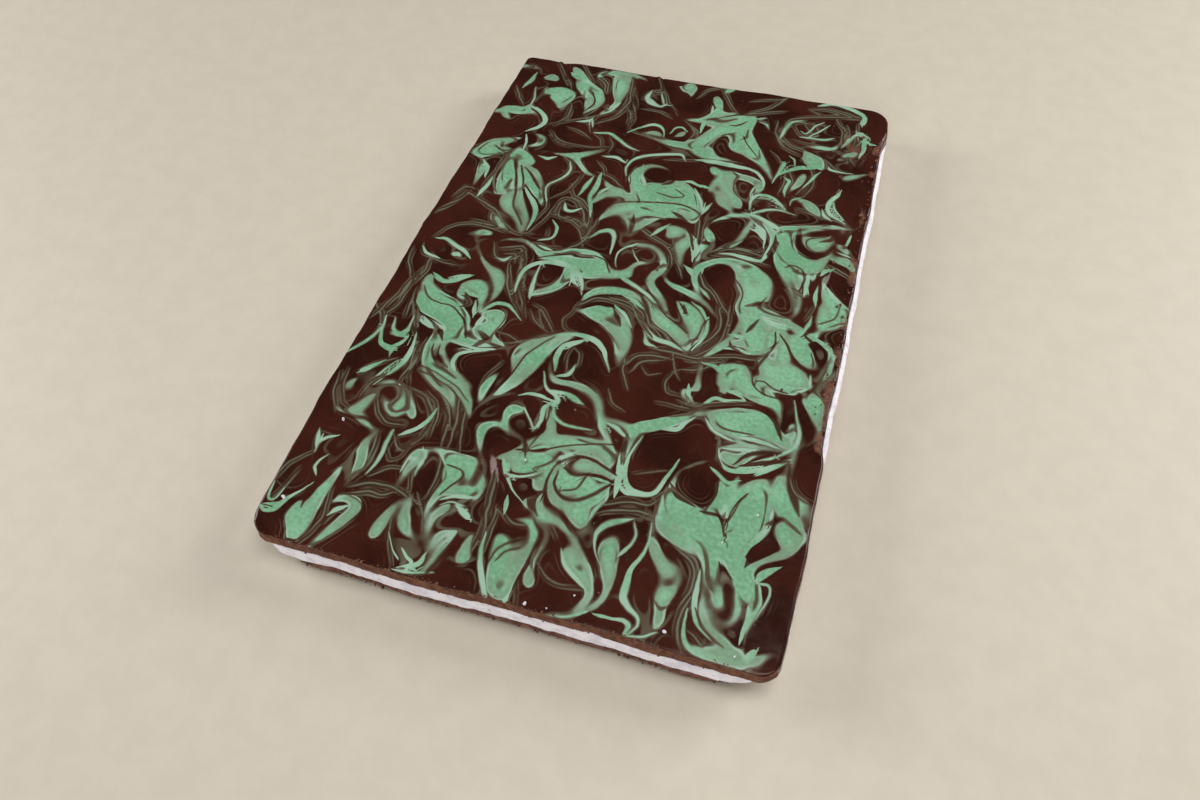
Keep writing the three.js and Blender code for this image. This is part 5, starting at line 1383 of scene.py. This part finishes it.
# Crumbs and specks, which lie loose on the slab
crumbs = {
    "around": 8, "rings": 4, "uneven": 0.5,  # points round a crumb, rings of them, how lumpy
    "stretch": (0.6, 1.3), "lift": 0.35,  # half-lengths to the size, and how far a crumb's middle is raised
    "edge": 150, "edgeSize": (0.15, 0.45), "edgeSpan": (-0.95, 0.9), "edgeSink": -0.5,  # top of the cut
    "wall": 120, "wallSize": (0.14, 0.4), "wallSpan": (-0.93, 0.95),  # on the cut front
    "foot": 150, "footSize": (0.2, 0.55), "footSpan": (-0.84, 0.9),  # on the front of the base
    "flaky": 90, "flakySize": (0.2, 0.6), "flakySpan": (-0.3, 0.85), "flakyDepth": 5,  # broken right edge
    "face": 46, "faceSize": (0.12, 0.34), "faceHalf": (84, 134),  # anywhere on the face
    "lying": 0.2, "clear": 0.6,  # a size that sets the lift on the face, and room left above and below a side
}
# Larger crumbs and white specks on the face: x, y and radius
loose = (2, -63, 0.7, 53, -61, 0.6, 71, -34, 0.8, 86, -32, 0.6, 46, -9, 0.6, 66, 27, 0.7, 82, 46, 0.8,
         60, -22, 0.5, 84, 12, 0.6, 79, 36, 0.6, 86, 66, 0.7, 74, 88, 0.7, -12, -96, 0.7, 31, -128, 0.5,
         80, 118, 0.7, 66, 122, 0.5, -20, 126, 0.6, -44, 60, 0.5, 12, 12, 0.5, 84, -8, 0.6)
white = (-77, -90, 0.6, -82, -125, 0.7, 10, -138, 0.6, 17, -137.5, 0.4, 73, -87, 0.6, 24, -131, 0.4,
         54, -134.5, 0.6, 76, -136, 0.5, -8, -88, 0.3, 64, -100, 0.3, -64, -70, 0.3)


# Lumps joined into one mesh: rings of a sphere between two poles, each point pushed in or out at random,
# stretched by three half-lengths, turned about the upright and set down at a place.
def crumbMesh(name, places, sizes, seed):
    random = np.random.default_rng(seed)
    around, rings, count = crumbs["around"], crumbs["rings"], len(places)
    theta = np.linspace(0, math.pi, rings + 2)[1:-1, None]
    phi = np.arange(around)[None] * 2 * math.pi / around
    flat = np.stack([np.sin(theta) * np.cos(phi), np.sin(theta) * np.sin(phi), np.cos(theta) + 0 * phi], -1)
    unit = np.vstack([[[0, 0, 1]], flat.reshape(-1, 3), [[0, 0, -1]]])
    push = 1 + crumbs["uneven"] * (random.random((count, len(unit), 1)) - 0.5)
    stretch = np.asarray(sizes)[:, None] * random.uniform(*crumbs["stretch"], (count, 3))
    points = unit[None] * push * stretch[:, None]
    turn = random.uniform(0, 2 * math.pi, (count, 1))
    turned = np.stack([points[..., 0] * np.cos(turn) - points[..., 1] * np.sin(turn),
                       points[..., 0] * np.sin(turn) + points[..., 1] * np.cos(turn), points[..., 2]], -1)
    points = np.clip(turned + np.asarray(places)[:, None], *(np.array(cadBox) / mm))
    i = np.arange(around)
    j = (i + 1) % around
    last = len(unit) - 1
    lower = last - around
    fans = np.vstack([np.stack([0 * i, 1 + i, 1 + j], 1), np.stack([0 * i + last, lower + j, lower + i], 1)])
    quads = np.vstack([np.stack([k + i, k + around + i, k + around + j, k + j], 1)
                       for k in range(1, lower, around)])
    start = np.arange(count)[:, None, None] * len(unit)
    faces = [*(start + fans).reshape(-1, 3).tolist(), *(start + quads).reshape(-1, 4).tolist()]
    return newPiece(name, points.reshape(-1, 3), faces)


# Points on the face at given x and y, raised by a share of their sizes.
def onFace(x, y, sizes):
    z = cragHeight(x, y) + fineRelief(x, y, 0 * x) + crumbs["lift"] * sizes
    return np.stack([x, y, z], 1)


# Points on the front of a layer: its plan at places along it, at random heights between two.
def onFront(random, u, corners, low, high, inset, recess):
    x, y = plan(u, -np.ones(len(u)), inset, corners, phase=toppingEdge["phase"], recess=recess)
    return np.stack([x, y, low + (high - low) * random.random(len(u))], 1)


# All crumbs, one kind of place after another, and the specks.
def makeCrumbs():
    random = np.random.default_rng(4)
    kinds = []
    sizes = []
    def add(places, least, most):
        kinds.append(places)
        sizes.append(least + (most - least) * random.random(len(places)) ** 2)
    corners, lying, clear = slab["toppingCorners"], crumbs["lying"], crumbs["clear"]
    u = random.uniform(*crumbs["edgeSpan"], crumbs["edge"])
    x, y = plan(u, np.full(u.shape, -1.0), 0.9, corners, **toppingEdge)
    y = y + 0.9 * random.uniform(-0.4, 1, len(u)) ** 3 - 0.2
    add(onFace(x, y, np.full(u.shape, crumbs["edgeSink"])), *crumbs["edgeSize"])
    u = random.uniform(*crumbs["wallSpan"], crumbs["wall"])
    add(onFront(random, u, corners, fillingTop, slabHeight - clear, 0.35, 1.0), *crumbs["wallSize"])
    u = random.uniform(*crumbs["footSpan"], crumbs["foot"])
    add(onFront(random, u, slab["baseCorners"], clear, slab["base"] - clear, 0.3, 0.0), *crumbs["footSize"])
    v = random.uniform(*crumbs["flakySpan"], crumbs["flaky"])
    x, y = plan(np.ones(len(v)), v, 1.2, corners, **toppingEdge)
    x = x - crumbs["flakyDepth"] * random.random(len(v)) ** 2
    add(onFace(x, y, np.full(v.shape, lying)), *crumbs["flakySize"])
    x, y = (random.uniform(-half, half, crumbs["face"]) for half in crumbs["faceHalf"])
    add(onFace(x, y, np.full(x.shape, lying)), *crumbs["faceSize"])
    x, y, radius = np.array(loose, float).reshape(-1, 3).T
    kinds.append(onFace(x, y, radius))
    sizes.append(radius)
    brown = crumbMesh("chocolate_crumbs", np.vstack(kinds), np.concatenate(sizes), 5)
    x, y, radius = np.array(white, float).reshape(-1, 3).T
    pale = crumbMesh("white_specks", onFace(x, y, radius), radius, 6)
    for piece, kind in ((brown, "chocolate"), (pale, "white")):
        piece.data.materials.append(crumbMaterial(kind))
        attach(piece, "root")
        print(piece.name, "with", len(piece.data.polygons), "faces")


makeCrumbs()


# Stage: a plain pale floor, soft light and the camera
stage = {
    "floorHalf": 2500, "floorColour": shown(208, 200, 184), "floorShade": shown(204, 196, 180),
    "floorGloss": 0.55, "floorScale": 90,
    "worldColour": (1.0, 0.97, 0.93, 1), "worldStrength": 0.03,
}


def makeFloor():
    half = stage["floorHalf"]
    square = [(-half, -half, 0), (half, -half, 0), (half, half, 0), (-half, half, 0)]
    floor = newPiece("floor", square, [(0, 1, 2, 3)])
    material, tree, shader = newMaterial("pale floor")
    tone = step(noise(objectPoint(tree), stage["floorScale"], 4, 0.65), 0.35, 0.65)
    feed(shader.inputs["Base Color"], blend(tone, stage["floorShade"], stage["floorColour"]))
    shader.inputs["Roughness"].default_value = stage["floorGloss"]
    floor.data.materials.append(material)


# Soft boxes: bearing in degrees from +Y towards +X, elevation, distance and size in metres, watts, colour
lights = {
    "overhead": (110, 76, 1.0, 0.5, 4.2, (1, 0.985, 0.96)),
    "right": (52, 27, 1.4, 0.7, 12, (1, 0.975, 0.945)),
    "front": (180, 22, 2.2, 1.4, 20.5, (1, 0.98, 0.97)),
    "left": (272, 22, 1.4, 0.7, 12, (1, 0.98, 0.96)),
}


def makeLights():
    for name, (bearing, elevation, distance, size, watts, colour) in lights.items():
        lamp = bpy.data.lights.new(name, "AREA")
        lamp.shape = "DISK"
        lamp.size = size
        lamp.energy = watts
        lamp.color = colour
        holder = bpy.data.objects.new(name, lamp)
        b, e = math.radians(bearing), math.radians(elevation)
        flat = distance * math.cos(e)
        holder.location = (flat * math.sin(b), flat * math.cos(b), distance * math.sin(e))
        holder.rotation_euler = (math.pi / 2 - e, 0, math.pi - b)
        bpy.context.scene.collection.objects.link(holder)
    world = bpy.data.worlds.new("soft room")
    world.use_nodes = True
    background = world.node_tree.nodes["Background"]
    background.inputs["Color"].default_value = stage["worldColour"]
    background.inputs["Strength"].default_value = stage["worldStrength"]
    bpy.context.scene.world = world


# The camera stands in front of the slab, a little to its right, and looks down on it.
camera = {
    "bearing": 19.519, "elevation": 53.512, "roll": -2.778,  # degrees
    "place": (74.815, -241.552, 282.855),  # mm
    "lens": 27.438, "sensor": 36,  # mm
}


def makeCamera():
    lens = bpy.data.cameras.new("camera")
    lens.sensor_width = camera["sensor"]
    lens.lens = camera["lens"]
    lens.clip_start = 0.01
    holder = bpy.data.objects.new("camera", lens)
    b, e, r = (math.radians(camera[k]) for k in ("bearing", "elevation", "roll"))
    back = np.array([math.sin(b) * math.cos(e), -math.cos(b) * math.cos(e), math.sin(e)])
    level = np.array([math.cos(b), math.sin(b), 0])
    upright = np.cross(back, level)
    right = math.cos(r) * level + math.sin(r) * upright
    up = math.cos(r) * upright - math.sin(r) * level
    matrix = np.eye(4)
    matrix[:3, :3] = np.stack([right, up, back], 1)
    matrix[:3, 3] = np.array(camera["place"]) * mm
    holder.matrix_world = matrix.T.tolist()
    bpy.context.scene.collection.objects.link(holder)
    bpy.context.scene.camera = holder


makeFloor()
makeLights()
makeCamera()
bpy.context.scene.view_settings.view_transform = "Standard"
print("stage set")
